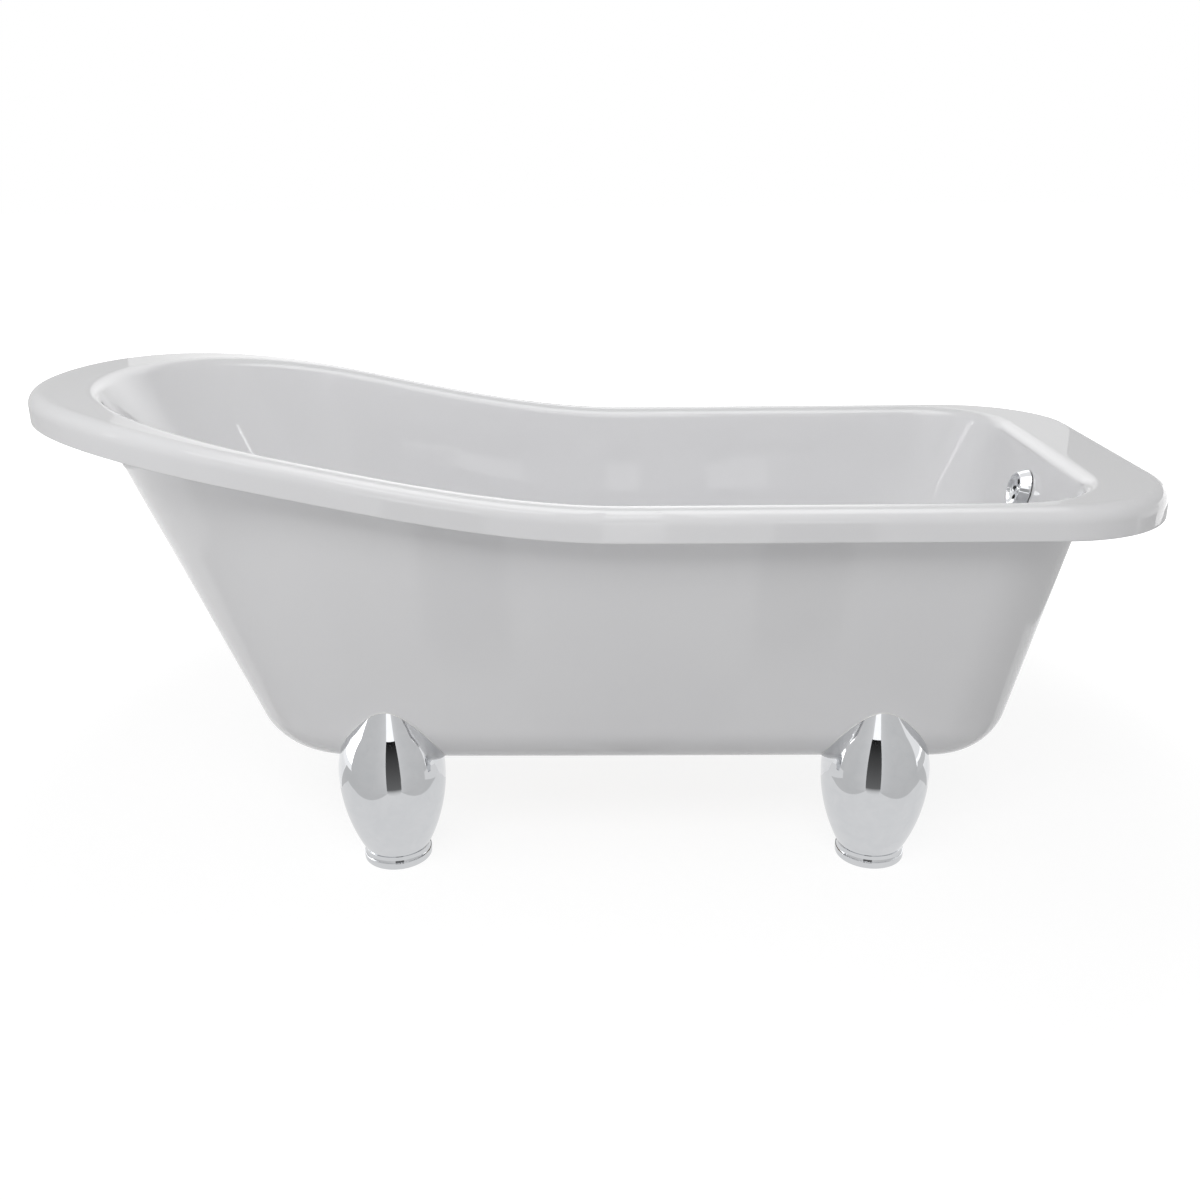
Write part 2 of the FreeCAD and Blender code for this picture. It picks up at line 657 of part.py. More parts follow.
# ---------------------------------------------------------------- base board
board_low = S("skin_level") + S("skin_wall")
board_high = board_low + S("board_thick")
board_start = FOOT_X["slipper"] + S("board_nose_from_foot")
board_end = FOOT_X["tap"] + S("board_past_foot")
board_box = box("board_plank", board_start, board_end, -BOARD_Y, BOARD_Y, board_low, board_high)
board_round = doc.addObject("Part::Fillet", "board_corners")
board_round.Base = board_box
doc.recompute()
corner_edges = []
for i, e in enumerate(board_box.Shape.Edges, 1):
    if abs(e.tangentAt(e.FirstParameter).z) > 0.9 and e.CenterOfMass.x > 0:
        corner_edges.append((i, number("board_corner"), number("board_corner")))
board_round.Edges = corner_edges
board_nose = cylinder("board_nose", BOARD_Y, board_high - board_low, board_start, 0, board_low)
notch = box("board_notch", WASTE - S("notch_from_waste"), board_end + 10,
            -S("notch_half_width"), S("notch_half_width"), board_low - 5, board_high + 5)
holes = []
bolts, washers, inserts, nuts = [], [], [], []
tongue_top = S("skin_level") - S("gasket_thick")
tongue_low = tongue_top - S("tongue_thick")
washer_low = tongue_low - S("washer_thick")
insert_low = board_high - S("insert_length")
for end, at in FOOT_X.items():
    for side, sign in (("front", -1), ("back", 1)):
        for step, mark in ((-0.5, "a"), (0.5, "b")):
            tag = "%s_%s_%s" % (end, side, mark)
            bx = at + S("bolt_spread") * step
            by = BOLT_Y * sign
            holes.append(cylinder("board_hole_" + tag, S("insert_radius"),
                                  board_high - board_low + 10, bx, by, board_low - 5))
            holes.append(cylinder("board_sink_" + tag, S("insert_flange"),
                                  S("insert_flange_thick") + 5, bx, by,
                                  board_high - S("insert_flange_thick")))
            shank = cylinder("bolt_shank_" + tag, S("bolt_shank"),
                             board_high - 1 - washer_low, bx, by, washer_low)
            head = hexagon("bolt_head_" + tag, S("bolt_head"), S("bolt_head_height"), bx, by,
                           washer_low - S("bolt_head_height"))
            face = cylinder("bolt_face_" + tag, S("bolt_head") * 0.84, S("bolt_head_height") + 0.6,
                            bx, by, washer_low - S("bolt_head_height") - 0.6)
            bolts.append(fuse("bolt_" + tag, [shank, head, face]))
            disc = cylinder("washer_disc_" + tag, S("washer_radius"), S("washer_thick"), bx, by,
                            washer_low)
            eye = cylinder("washer_eye_" + tag, S("bolt_hole"), S("washer_thick") + 2, bx, by,
                           washer_low - 1)
            washers.append(cut("washer_" + tag, disc, eye))
            barrel = cylinder("insert_barrel_" + tag, S("insert_radius"), S("insert_length"), bx, by,
                              insert_low)
            brim = cylinder("insert_brim_" + tag, S("insert_flange"), S("insert_flange_thick"), bx,
                            by, board_high - S("insert_flange_thick"))
            core = cylinder("insert_core_" + tag, S("bolt_shank") + S("thread_gap"),
                            S("insert_length") + 2, bx, by, insert_low - 1)
            inserts.append(cut("insert_" + tag, fuse("insert_solid_" + tag, [barrel, brim]), core))
base_board = cut("base_board", fuse("board_body", [board_round, board_nose]),
                 fuse("board_cuts", [notch] + holes))
foot_bolts = group("foot_bolts", bolts)
foot_washers = group("foot_washers", washers)
board_inserts = group("board_inserts", inserts)

# ---------------------------------------------------------------- feet
belly, level = S("foot_belly"), S("foot_belly_level")
low_r, up_r = S("foot_lower_arc"), S("foot_upper_arc")
rise = S("foot_shoulder") - level
shoulder_r = belly - up_r + root(up_r * up_r - rise * rise)
# the cone above the shoulder leaves the upper arc at its tangent
slope = rise / root(up_r * up_r - rise * rise)
tip_level = S("foot_top") - 7
tip_r = shoulder_r - slope * (tip_level - S("foot_shoulder"))
neck_high = S("foot_neck_high")
neck_r = belly - low_r + root(low_r * low_r - (level - neck_high) * (level - neck_high))
t = S("foot_wall")
in_low, in_up = low_r - t, up_r - t
in_belly = belly - t
deck = S("foot_recess_depth") + S("foot_web")
in_base = in_belly - in_low + root(in_low * in_low - (level - deck) * (level - deck))
cos_k = root(up_r * up_r - rise * rise) / up_r
in_rise = rise * in_up / up_r
in_shoulder = in_belly - in_up + root(in_up * in_up - in_rise * in_rise)
in_tip = in_shoulder - slope * (tip_level - t - (level + in_rise))
boss_top = deck + S("foot_boss_height")
EGG = [
    (0, 0), (S("foot_base"), 0, S("foot_ring_edge"), 1), (S("foot_ring"), S("foot_ring_edge")),
    (S("foot_ring"), S("foot_ring_top")), (neck_r + 0.6, S("foot_neck_low")),
    (neck_r, neck_high, low_r, 1), (belly, level, up_r, 1), (shoulder_r, S("foot_shoulder")),
    (tip_r, tip_level), (0, S("foot_top")),
]
HOLLOW = [
    (0, boss_top), (S("foot_boss"), boss_top), (S("foot_boss"), deck),
    (in_base, deck, in_low, 1), (in_belly, level, in_up, 1), (in_shoulder, level + in_rise),
    (in_tip, tip_level - t), (0, tip_level - t),
]
ring_r = S("foot_recess")
feet, gaskets, studs, pads = [], [], [], []
for end, at in FOOT_X.items():
    for side, sign in (("front", -1), ("back", 1)):
        tag = "%s_%s" % (end, side)
        fy = FOOT_Y * sign
        egg = turned("egg_" + tag, EGG, at, fy, 0)
        hollow = turned("hollow_" + tag, HOLLOW, at, fy, 0)
        cast = cut("casting_" + tag, egg, hollow)
        inner_y = FOOT_Y - belly + 2.5
        tongue_end = BOLT_Y - S("tongue_past_bolt")
        ya, yb = (tongue_end, inner_y) if sign > 0 else (-inner_y, -tongue_end)
        half_t = S("tongue_width") / 2
        tongue = box("tongue_" + tag, at - half_t, at + half_t, ya, yb, tongue_low, tongue_top)
        rib_end = BOLT_Y + S("rib_from_bolt")
        ra, rb = (rib_end, inner_y + 2.5) if sign > 0 else (-(inner_y + 2.5), -rib_end)
        rib = box("rib_" + tag, at - S("rib_width") / 2, at + S("rib_width") / 2, ra, rb,
                  tongue_low - S("rib_depth"), tongue_low)
        body = fuse("foot_body_" + tag, [cast, tongue, rib])
        cuts = [
            cylinder("recess_" + tag, ring_r, S("foot_recess_depth") + 1, at, fy, -1),
            cylinder("tapping_" + tag, S("stud_radius"), boss_top + 2, at, fy, -1),
        ]
        for step, mark in ((-0.5, "a"), (0.5, "b")):
            cuts.append(cylinder("slot_%s_%s" % (tag, mark), S("bolt_hole"), 40,
                                 at + S("bolt_spread") * step, BOLT_Y * sign, tongue_low - 10))
        foot = cut("foot_" + tag, body, fuse("foot_cuts_" + tag, cuts + [hull_gap]))
        feet.append(foot)
        seat_plate = box("gasket_plate_" + tag, at - half_t, at + half_t, ya, yb, tongue_top,
                         S("skin_level"))
        band = cut("gasket_band_" + tag, common("gasket_zone_" + tag, cast, hull_gap), hull_form)
        pierce = [cylinder("gasket_eye_%s_%s" % (tag, mark), S("bolt_hole"), 20,
                           at + S("bolt_spread") * step, BOLT_Y * sign,
                           tongue_top - 5) for step, mark in ((-0.5, "a"), (0.5, "b"))]
        gaskets.append(cut("foot_gasket_" + tag,
                           fuse("gasket_body_" + tag, [band, seat_plate]),
                           fuse("gasket_eyes_" + tag, pierce)))
        # threaded stud with a spanner hexagon, its pad under it and its jam nut
        sr = S("stud_radius") - S("stud_gap")
        hex_low = S("pad_lift") + S("pad_height") + 0.3
        hex_high = S("foot_recess_depth") - S("nut_thick") - 0.2
        stud = turned("stud_spin_" + tag, [
            (0, S("stud_low")), (sr - 1, S("stud_low")), (sr, S("stud_low") + 1),
            (sr, S("stud_top") - 1), (sr - 1, S("stud_top")), (0, S("stud_top"))], at, fy, 0)
        studs.append(fuse("adjuster_stud_" + tag, [
            stud, hexagon("stud_hex_" + tag, S("stud_hex"), hex_high - hex_low, at, fy, hex_low)]))
        pads.append(turned("adjuster_pad_" + tag, [
            (0, S("pad_lift")), (S("pad_radius") - 1.5, S("pad_lift")),
            (S("pad_radius"), S("pad_lift") + 1.5), (S("pad_radius"), S("pad_lift") + S("pad_thick")),
            (S("pad_neck") + 3, S("pad_lift") + S("pad_thick") + 0.8),
            (S("pad_neck"), S("pad_lift") + S("pad_height")),
            (S("stud_radius") + S("stud_gap"), S("pad_lift") + S("pad_height")),
            (S("stud_radius") + S("stud_gap"), S("stud_low")), (0, S("stud_low"))], at, fy, 0))
        nut = hexagon("jam_hex_" + tag, S("nut_radius"), S("nut_thick"), at, fy,
                      S("foot_recess_depth") - S("nut_thick"))
        eye = cylinder("jam_eye_" + tag, S("stud_radius"), S("nut_thick") + 2, at, fy,
                       S("foot_recess_depth") - S("nut_thick") - 1)
        nuts.append(cut("jam_nut_" + tag, nut, eye))
jam_nuts = group("jam_nuts", nuts)

# ---------------------------------------------------------------- overflow
end_top = OPEN_END
run = end_top - FLOOR_END
fall = S("rim_height") - FLOOR
lean = Q(math.degrees(math.atan(run.v / fall.v)), "(atan(%s / %s) / 1deg)" % (run.t, fall.t))
oz = S("rim_height") - S("overflow_drop")
ox = end_top - run / fall * S("overflow_drop")
tilt = lean - 90


def on_wall(name, points):
    return turned(name, points, ox, 0, oz, tilt)


f = S("seal_front")
bezel = on_wall("overflow_bezel", [
    (S("bezel_radius") - S("bezel_wall"), f), (S("bezel_radius"), f),
    (S("bezel_radius"), f + 2.5), (S("bezel_front") + 1.2, S("bezel_depth") - 1.5, 2, 1),
    (S("bezel_front") - 1.5, S("bezel_depth")), (S("bezel_front") - 3.5, S("bezel_depth") - 1.8),
    (S("bezel_front") - 5.5, S("bezel_dish") + 4), (S("screw_head") + 2, S("bezel_dish")),
    (S("screw_radius") + 0.3, S("bezel_dish")), (S("screw_radius") + 0.3, S("bezel_dish") - 4),
    (S("screw_head") + 2, S("bezel_dish") - 4), (S("bezel_front") - 5, S("bezel_dish")),
    (S("bezel_radius") - S("bezel_wall"), f + 2.5)])
doc.recompute()
circles = []
for k in range(6):
    circles.append((S("bezel_pitch") * math.cos(math.radians(30 + 60 * k)),
                    S("bezel_pitch") * math.sin(math.radians(30 + 60 * k)), S("bezel_hole")))
drilled(bezel, "bezel_holes", circles, S("bezel_dish") + 8, S("bezel_dish") + 8)
on_wall("overflow_screw", [
    (0, -S("cup_depth") + 8), (S("screw_radius") - 1, -S("cup_depth") + 8),
    (S("screw_radius"), -S("cup_depth") + 9), (S("screw_radius"), S("bezel_dish")),
    (S("screw_head"), S("bezel_dish")), (S("screw_head"), S("bezel_dish") + 1.6, 3, 1),
    (S("screw_head") - 2.6, S("bezel_dish") + 3.2), (1.6, S("bezel_dish") + 3.2),
    (1.6, S("bezel_dish") + 1.2), (0, S("bezel_dish") + 1.2)])
on_wall("overflow_seal_front", [
    (S("overflow_hole") + 0.5, 0), (S("bezel_radius") - 1, 0), (S("bezel_radius") - 1, f),
    (S("overflow_hole") + 0.5, f)])
back = -S("shell_wall")
rear = back - S("seal_rear")
on_wall("overflow_seal_rear", [
    (S("overflow_hole") + 0.5, rear), (S("cup_flange"), rear), (S("cup_flange"), back),
    (S("overflow_hole") + 0.5, back)])
cup = on_wall("cup_turned", [
    (0, -S("cup_depth") - S("cup_floor")), (S("cup_radius") - 3, -S("cup_depth") - S("cup_floor"), 3, 1),
    (S("cup_radius"), -S("cup_depth")), (S("cup_radius"), rear - S("cup_flange_thick")),
    (S("cup_flange"), rear - S("cup_flange_thick")), (S("cup_flange"), rear), (S("cup_bore"), rear),
    (S("cup_bore"), -S("cup_depth")), (6, -S("cup_depth")), (6, -S("cup_depth") + 14),
    (S("screw_radius") + S("thread_gap"), -S("cup_depth") + 14),
    (S("screw_radius") + S("thread_gap"), -S("cup_depth") + 2), (0, -S("cup_depth") + 2)])
# the spout leaves the cup square to its axis, straight down the back of the wall
sin_l, cos_l = sine(lean), cosine(lean)


def wall_point(up, out):
    return (ox + up * sin_l - out * cos_l, oz + up * cos_l + out * sin_l)


def down_wall(name, r, start, stop, out):
    x, z = wall_point(q(start), out)
    return cylinder(name, r, q(start) - q(stop), x, 0, z, V(0, 1, 0), lean + 180)


spout = down_wall("spout_tube", S("spout_radius"), -(S("cup_bore") + 2), -S("spout_length"),
                  -S("spout_level"))
barb = down_wall("spout_barb", S("spout_radius") + S("hose_fit"), -S("spout_length") + 8,
                 -S("spout_length") + 4, -S("spout_level"))
bore = down_wall("spout_bore_hole", S("spout_bore"), -(S("cup_bore") - 6), -S("spout_length") - 2,
                 -S("spout_level"))
cut("overflow_elbow", fuse("elbow_body", [cup, spout, barb]), bore)

clips = []


def clip(tag, ring, eye, housing, screw):
    clips.append(cut("clip_" + tag, fuse("clip_body_" + tag, [ring, housing, screw]), eye))


hr = S("spout_radius") + S("hose_fit") + S("hose_wall")
cr = hr + S("clip_wall")
cs = -S("spout_length") + 25
cx, cz = wall_point(cs, -S("spout_level"))
hx, hz = wall_point(cs - S("clip_width") / 2 , -S("spout_level"))
clip("spout", down_wall("clip_band_spout", cr, cs, cs - S("clip_width"), -S("spout_level")),
     down_wall("clip_eye_spout", hr + 0.02, cs + 1, cs - S("clip_width") - 1, -S("spout_level")),
     cylinder("clip_block_spout", 4, 13, hx - 6.5, hr + 3.2, hz, V(0, 1, 0), 90),
     cylinder("clip_screw_spout", 3, 17, hx - 8.5, hr + 3.2, hz, V(0, 1, 0), 90))
ix = WASTE + S("body_radius") + S("inlet_length")
iz = INLET
clip("inlet", cylinder("clip_band_inlet", cr, S("clip_width"), ix - 18, 0, iz, V(0, 1, 0), 90),
     cylinder("clip_eye_inlet", hr + 0.02, S("clip_width") + 2, ix - 19, 0, iz, V(0, 1, 0), 90),
     cylinder("clip_block_inlet", 4, 13, ix - 18 + S("clip_width") / 2, hr + 3.2, iz - 6.5),
     cylinder("clip_screw_inlet", 3, 17, ix - 18 + S("clip_width") / 2, hr + 3.2, iz - 8.5))
group("hose_clips", clips)

# ---------------------------------------------------------------- waste
wx = WASTE
seat_z = FLOOR - S("waste_recess_drop")
fl = seat_z + S("waste_seal_thick")
ft = fl + S("waste_flange_thick")
ledge = ft - S("waste_ledge")
low = fl - S("waste_barrel_length")
turned("waste_seal_upper", [
    (S("waste_hole") - 0.5, seat_z), (S("waste_flange_radius") - 1, seat_z),
    (S("waste_flange_radius") - 1, fl), (S("waste_hole") - 0.5, fl)], wx, 0, 0)
flange = turned("flange_turned", [
    (S("waste_bore"), low), (S("waste_barrel") - 1, low), (S("waste_barrel"), low + 1),
    (S("waste_barrel"), fl), (S("waste_flange_radius"), fl), (S("waste_flange_radius"), fl + 1.2, 4, 1),
    (S("waste_flange_radius") - 3.2, ft), (S("waste_mouth"), ft), (S("waste_mouth"), ledge),
    (S("waste_bore"), ledge)], wx, 0, 0)
sp, st = low + S("spider_rise"), S("spider_thick")
boss = cylinder("spider_hub", S("spider_boss"), st, wx, 0, sp)
arm_a = box("spider_bar_a", wx - S("waste_bore") - 0.5, wx + S("waste_bore") + 0.5,
            -S("spider_arm") / 2, S("spider_arm") / 2, sp, sp + st)
arm_b = box("spider_bar_b", wx - S("spider_arm") / 2, wx + S("spider_arm") / 2,
            -S("waste_bore") - 0.5, S("waste_bore") + 0.5, sp, sp + st)
cut("waste_flange", fuse("flange_body", [flange, boss, arm_a, arm_b]),
    cylinder("spider_eye", S("cartridge_radius"), st + 4, wx, 0, sp - 2))
bottom = FLOOR - S("shell_wall")
bl = bottom - S("lower_seal_thick")
turned("waste_seal_lower", [
    (S("waste_hole"), bl), (S("body_flange"), bl), (S("body_flange"), bottom),
    (S("waste_hole"), bottom)], wx, 0, 0)
fb = bl - S("body_flange_thick")
floor_b = BODY_FLOOR
tail_low = floor_b - 3 - S("tail_length")
chamber = S("waste_barrel") + S("plug_gap")
waste_body = turned("body_turned", [
    (S("tail_bore"), tail_low), (S("tail_radius") - 1, tail_low),
    (S("tail_radius"), tail_low + 1), (S("tail_radius"), floor_b - 3),
    (S("body_radius") - 2, floor_b - 3), (S("body_radius"), floor_b - 1),
    (S("body_radius"), fb), (S("body_flange") - 1, fb), (S("body_flange"), fb + 1),
    (S("body_flange"), bl), (chamber, bl), (chamber, floor_b + 1), (S("tail_bore"), floor_b - 1)],
    wx, 0, 0)
inlet = cylinder("inlet_tube", S("spout_radius"), ix - wx - S("body_radius") + 3,
                 wx + S("body_radius") - 3, 0, iz, V(0, 1, 0), 90)
inlet_barb = cylinder("inlet_barb", S("spout_radius") + S("hose_fit"), 4, ix - 8, 0, iz,
                      V(0, 1, 0), 90)
collar = cylinder("inlet_collar", S("spout_radius") + 2.5, 8, wx + S("body_radius") - 2, 0, iz,
                  V(0, 1, 0), 90)
inlet_hole = cylinder("inlet_hole", S("spout_bore"), ix - wx, wx + S("waste_bore"), 0, iz,
                      V(0, 1, 0), 90)
chamber_keep = cylinder("chamber_keep", chamber, bl - floor_b - 1, wx, 0, floor_b + 1)
cut("waste_body", fuse("body_all", [waste_body, inlet, inlet_barb, collar]),
    fuse("body_cuts", [inlet_hole, chamber_keep]))
cart_low, cart_top = sp - S("cartridge_drop"), sp + st + S("cartridge_rise")
turned("waste_cartridge", [
    (0, cart_low), (S("cartridge_radius") - 1, cart_low),
    (S("cartridge_radius"), cart_low + 1), (S("cartridge_radius"), sp + st),
    (S("cartridge_radius") + 2, sp + st), (S("cartridge_radius") + 2, sp + st + 1.5),
    (S("cartridge_radius") - 0.5, cart_top),
    (S("spindle_radius") + S("plug_gap"), cart_top),
    (S("spindle_radius") + S("plug_gap"), cart_low + 3), (0, cart_low + 3)],
    wx, 0, 0)
ps = ledge + S("plug_seal_thick")
turned("plug_seal", [
    (S("plug_hub") + S("plug_gap") / 2, ledge), (S("plug_seal_radius"), ledge),
    (S("plug_seal_radius"), ps), (S("plug_hub") + S("plug_gap") / 2, ps)], wx, 0, 0)
rim_t = ps + S("plug_rim_thick")
top = rim_t + S("plug_dome")
dome_r = (S("plug_radius") * S("plug_radius") + S("plug_dome") * S("plug_dome")) / (S("plug_dome") * 2)
spindle_low = sp - S("spindle_drop")
turned("waste_plug", [
    (0, spindle_low), (S("spindle_radius") - 1, spindle_low),
    (S("spindle_radius"), spindle_low + 1), (S("spindle_radius"), ledge - 5.5),
    (12, ledge - 1.4), (S("plug_hub"), ledge - 0.6), (S("plug_hub"), ps), (S("plug_radius"), ps),
    (S("plug_radius"), rim_t, dome_r, 1), (0, top)], wx, 0, 0)

doc.recompute()

NODES = ["inner_shell", "outer_skin", "base_board", "board_inserts", "foot_bolts", "foot_washers",
         "jam_nuts", "overflow_bezel", "overflow_screw", "overflow_seal_front",
         "overflow_seal_rear", "overflow_elbow", "overflow_hose", "hose_clips", "waste_flange",
         "waste_seal_upper", "waste_seal_lower", "waste_body", "waste_cartridge", "waste_plug",
         "plug_seal"]
for end in ("slipper", "tap"):
    for side in ("front", "back"):
        for kind in ("foot", "foot_gasket", "adjuster_stud", "adjuster_pad"):
            NODES.append("%s_%s_%s" % (kind, end, side))

bad = []
for o in doc.Objects:
    if "Invalid" in o.State or "Error" in o.State:
        bad.append("%s %s" % (o.Name, o.State))
shapes = {}
for name in NODES:
    obj = doc.getObject(name)
    obj.Label = name
    shape = obj.Shape
    if shape.isNull() or not shape.isValid() or not shape.Solids:
        bad.append("%s shape" % name)
    shapes[name] = shape
if bad:
    raise RuntimeError("not built: " + "; ".join(bad))
os.makedirs("parts", exist_ok=True)
for name in NODES:
    shapes[name].exportStep("parts/%s.step" % name)
    b = shapes[name].BoundBox
    print("%-30s solids %d  vol %9.2f cm3  X %.1f..%.1f Y %.1f..%.1f Z %.1f..%.1f" % (
        name, len(shapes[name].Solids), shapes[name].Volume / 1000, b.XMin, b.XMax, b.YMin,
        b.YMax, b.ZMin, b.ZMax))
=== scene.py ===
"""Freestanding slipper bath with chromed feet, dressed for rendering.

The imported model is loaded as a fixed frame. The two acrylic skins, the four feet and the overflow
cover are drawn again here with finer surfaces; the other pieces keep their own solids. The
object's sizes are millimetres until a mesh is written, which is in metres. The studio is in
metres throughout.
"""
from __future__ import annotations

import json
import logging
import math
from dataclasses import dataclass
from enum import Enum
from typing import Any, Optional, Sequence, Union

import bmesh
import bpy
import numpy as np
from mathutils import Matrix, Vector

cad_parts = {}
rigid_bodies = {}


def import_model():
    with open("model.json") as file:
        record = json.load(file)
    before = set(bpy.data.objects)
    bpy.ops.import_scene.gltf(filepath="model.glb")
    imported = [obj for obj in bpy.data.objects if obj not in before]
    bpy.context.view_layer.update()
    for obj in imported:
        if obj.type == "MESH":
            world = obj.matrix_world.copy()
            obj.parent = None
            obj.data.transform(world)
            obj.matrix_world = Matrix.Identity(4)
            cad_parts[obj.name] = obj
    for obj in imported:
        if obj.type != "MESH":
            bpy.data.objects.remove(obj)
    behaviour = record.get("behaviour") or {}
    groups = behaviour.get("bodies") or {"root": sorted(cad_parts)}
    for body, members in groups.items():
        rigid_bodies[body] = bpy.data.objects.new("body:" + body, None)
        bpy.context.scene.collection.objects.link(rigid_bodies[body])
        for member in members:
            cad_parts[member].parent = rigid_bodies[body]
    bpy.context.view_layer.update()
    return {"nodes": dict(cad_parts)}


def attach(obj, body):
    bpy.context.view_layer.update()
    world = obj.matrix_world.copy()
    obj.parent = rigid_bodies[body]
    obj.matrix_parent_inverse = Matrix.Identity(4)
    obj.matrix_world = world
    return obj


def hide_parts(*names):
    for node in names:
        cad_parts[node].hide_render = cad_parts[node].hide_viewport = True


LOG = logging.getLogger("slipper_bath")
MM = 0.001
MERGE_DISTANCE = 1e-7
POLE_RADIUS = 1e-6
QUARTER = math.pi / 2
Pair = tuple[float, float]


# ------------------------------------------------------------------ small helpers
def linear(hex_colour: str) -> tuple[float, float, float, float]:
    """Turn an sRGB hex colour into linear RGBA.

    Args:
        hex_colour: six hex digits with a leading "#".

    Returns:
        Red, green, blue and alpha as linear values from 0 to 1.
    """
    parts = [int(hex_colour[i:i + 2], 16) / 255 for i in (1, 3, 5)]
    r, g, b = (c / 12.92 if c <= 0.04045 else ((c + 0.055) / 1.055) ** 2.4 for c in parts)
    return r, g, b, 1.0


def empty_tree(owner: Any) -> bpy.types.NodeTree:
    """Turn on the nodes of a material or a world and empty them.

    Args:
        owner: the material or world.

    Returns:
        Its node tree.
    """
    owner.use_nodes = True
    owner.node_tree.nodes.clear()
    return owner.node_tree


def add_node(tree: bpy.types.NodeTree, kind: str, settings: Optional[dict[str, Any]] = None,
             links: Optional[dict[Any, Any]] = None) -> bpy.types.Node:
    """Add a node with its settings and its incoming links.

    Args:
        tree: node tree that receives the node.
        kind: the node's type name.
        settings: attributes by name, or input values when the key starts with "in:".
        links: output sockets by the name or number of the input they feed.

    Returns:
        The new node.
    """
    node = tree.nodes.new(kind)
    for key, value in (settings or {}).items():
        if key.startswith("in:"):
            name = key[3:]
            node.inputs[int(name) if name.isdigit() else name].default_value = value
        else:
            setattr(node, key, value)
    for name, socket in (links or {}).items():
        tree.links.new(socket, node.inputs[name])
    return node


def linked(name: str, data: Any) -> bpy.types.Object:
    """Make an object and link it to the scene.

    Args:
        name: object name.
        data: its mesh, lamp or camera.

    Returns:
        The linked object.
    """
    item = bpy.data.objects.new(name, data)
    bpy.context.scene.collection.objects.link(item)
    return item


def read_all(items: Any, name: str, kind: type = float, width: int = 1) -> np.ndarray:
    """Read one attribute of every vertex, corner or face.

    Args:
        items: the mesh's vertices, loops or polygons.
        name: attribute name.
        kind: float or int.
        width: numbers in each value.

    Returns:
        One row for each item, or a flat array where the width is 1.
    """
    out = np.empty(len(items) * width, kind)
    items.foreach_get(name, out)
    return out.reshape(-1, width) if width > 1 else out


def write_mesh(name: str, points: np.ndarray, faces: Sequence[Sequence[int]],
               sharp: float = 32.0, back: Sequence[int] = ()) -> bpy.types.Object:
    """Make a smooth-shaded object from millimetre points.

    Args:
        name: object and mesh name.
        points: n x 3 array in millimetres.
        faces: vertex numbers of each face.
        sharp: edges that turn more than this many degrees stay crisp.
        back: material number of each face, where there are two.

    Returns:
        The linked object.
    """
    mesh = bpy.data.meshes.new(name)
    mesh.from_pydata((np.asarray(points, float) * MM).tolist(), [], [list(f) for f in faces])
    if len(back):
        for _ in range(2):
            mesh.materials.append(None)
        mesh.polygons.foreach_set("material_index", list(back))
    body = bmesh.new()
    body.from_mesh(mesh)
    bmesh.ops.remove_doubles(body, verts=body.verts, dist=MERGE_DISTANCE)
    bmesh.ops.recalc_face_normals(body, faces=body.faces)
    body.to_mesh(mesh)
    body.free()
    mesh.shade_smooth()
    mesh.set_sharp_from_angle(angle=math.radians(sharp))
    return linked(name, mesh)


def spun(profile: Sequence[Pair], segments: int = 96) -> tuple[np.ndarray, list[Sequence[int]]]:
    """Spin a closed profile round the Z axis.

    Args:
        profile: (radius, level) points in order; a radius of 0 makes a pole.
        segments: number of steps in the turn.

    Returns:
        Points and faces.
    """
    turn = np.arange(segments) * 2 * math.pi / segments
    points: list[tuple[float, float, float]] = []
    rings: list[list[int]] = []
    for radius, level in profile:
        if radius < POLE_RADIUS:
            rings.append([len(points)] * segments)
            points.append((0.0, 0.0, level))
            continue
        rings.append(list(range(len(points), len(points) + segments)))
        points += [(radius * math.cos(t), radius * math.sin(t), level) for t in turn]
    faces: list[Sequence[int]] = []
    for a, b in zip(rings, rings[1:] + rings[:1]):
        for i in range(segments):
            j = (i + 1) % segments
            quad = list(dict.fromkeys((a[i], a[j], b[j], b[i])))
            if len(quad) > 2:
                faces.append(quad)
    return np.array(points), faces


def arc(start: Pair, end: Pair, radius: float, side: int, steps: int) -> list[Pair]:
    """Points of an arc between two profile points, the last one left out.

    Args:
        start: first point.
        end: last point.
        radius: radius of the arc.
        side: +1 when it bulges to the right of travel, -1 to the left.
        steps: number of chords.

    Returns:
        The points from start up to, not including, end.
    """
    a, b = np.array(start), np.array(end)
    chord = b - a
    half = np.linalg.norm(chord) / 2
    right = np.array([chord[1], -chord[0]]) / (2 * half) * side
    centre = (a + b) / 2 - right * math.sqrt(max(radius ** 2 - half ** 2, 0.0))
    t0 = math.atan2(*(a - centre)[::-1])
    t1 = math.atan2(*(b - centre)[::-1])
    turn = (t1 - t0 + math.pi) % (2 * math.pi) - math.pi
    return [(centre[0] + radius * math.cos(t0 + turn * i / steps),
             centre[1] + radius * math.sin(t0 + turn * i / steps)) for i in range(steps)]


def chain(start: Pair, *legs: tuple[Pair, float, int, int]) -> list[Pair]:
    """Points of arcs that follow one another, the last one left out.

    Args:
        start: first point.
        legs: end, radius, side and number of chords of each arc.

    Returns:
        The points from start up to, not including, the last end.
    """
    out: list[Pair] = []
    for end, radius, side, steps in legs:
        out += arc(start, end, radius, side, steps)
        start = end
    return out


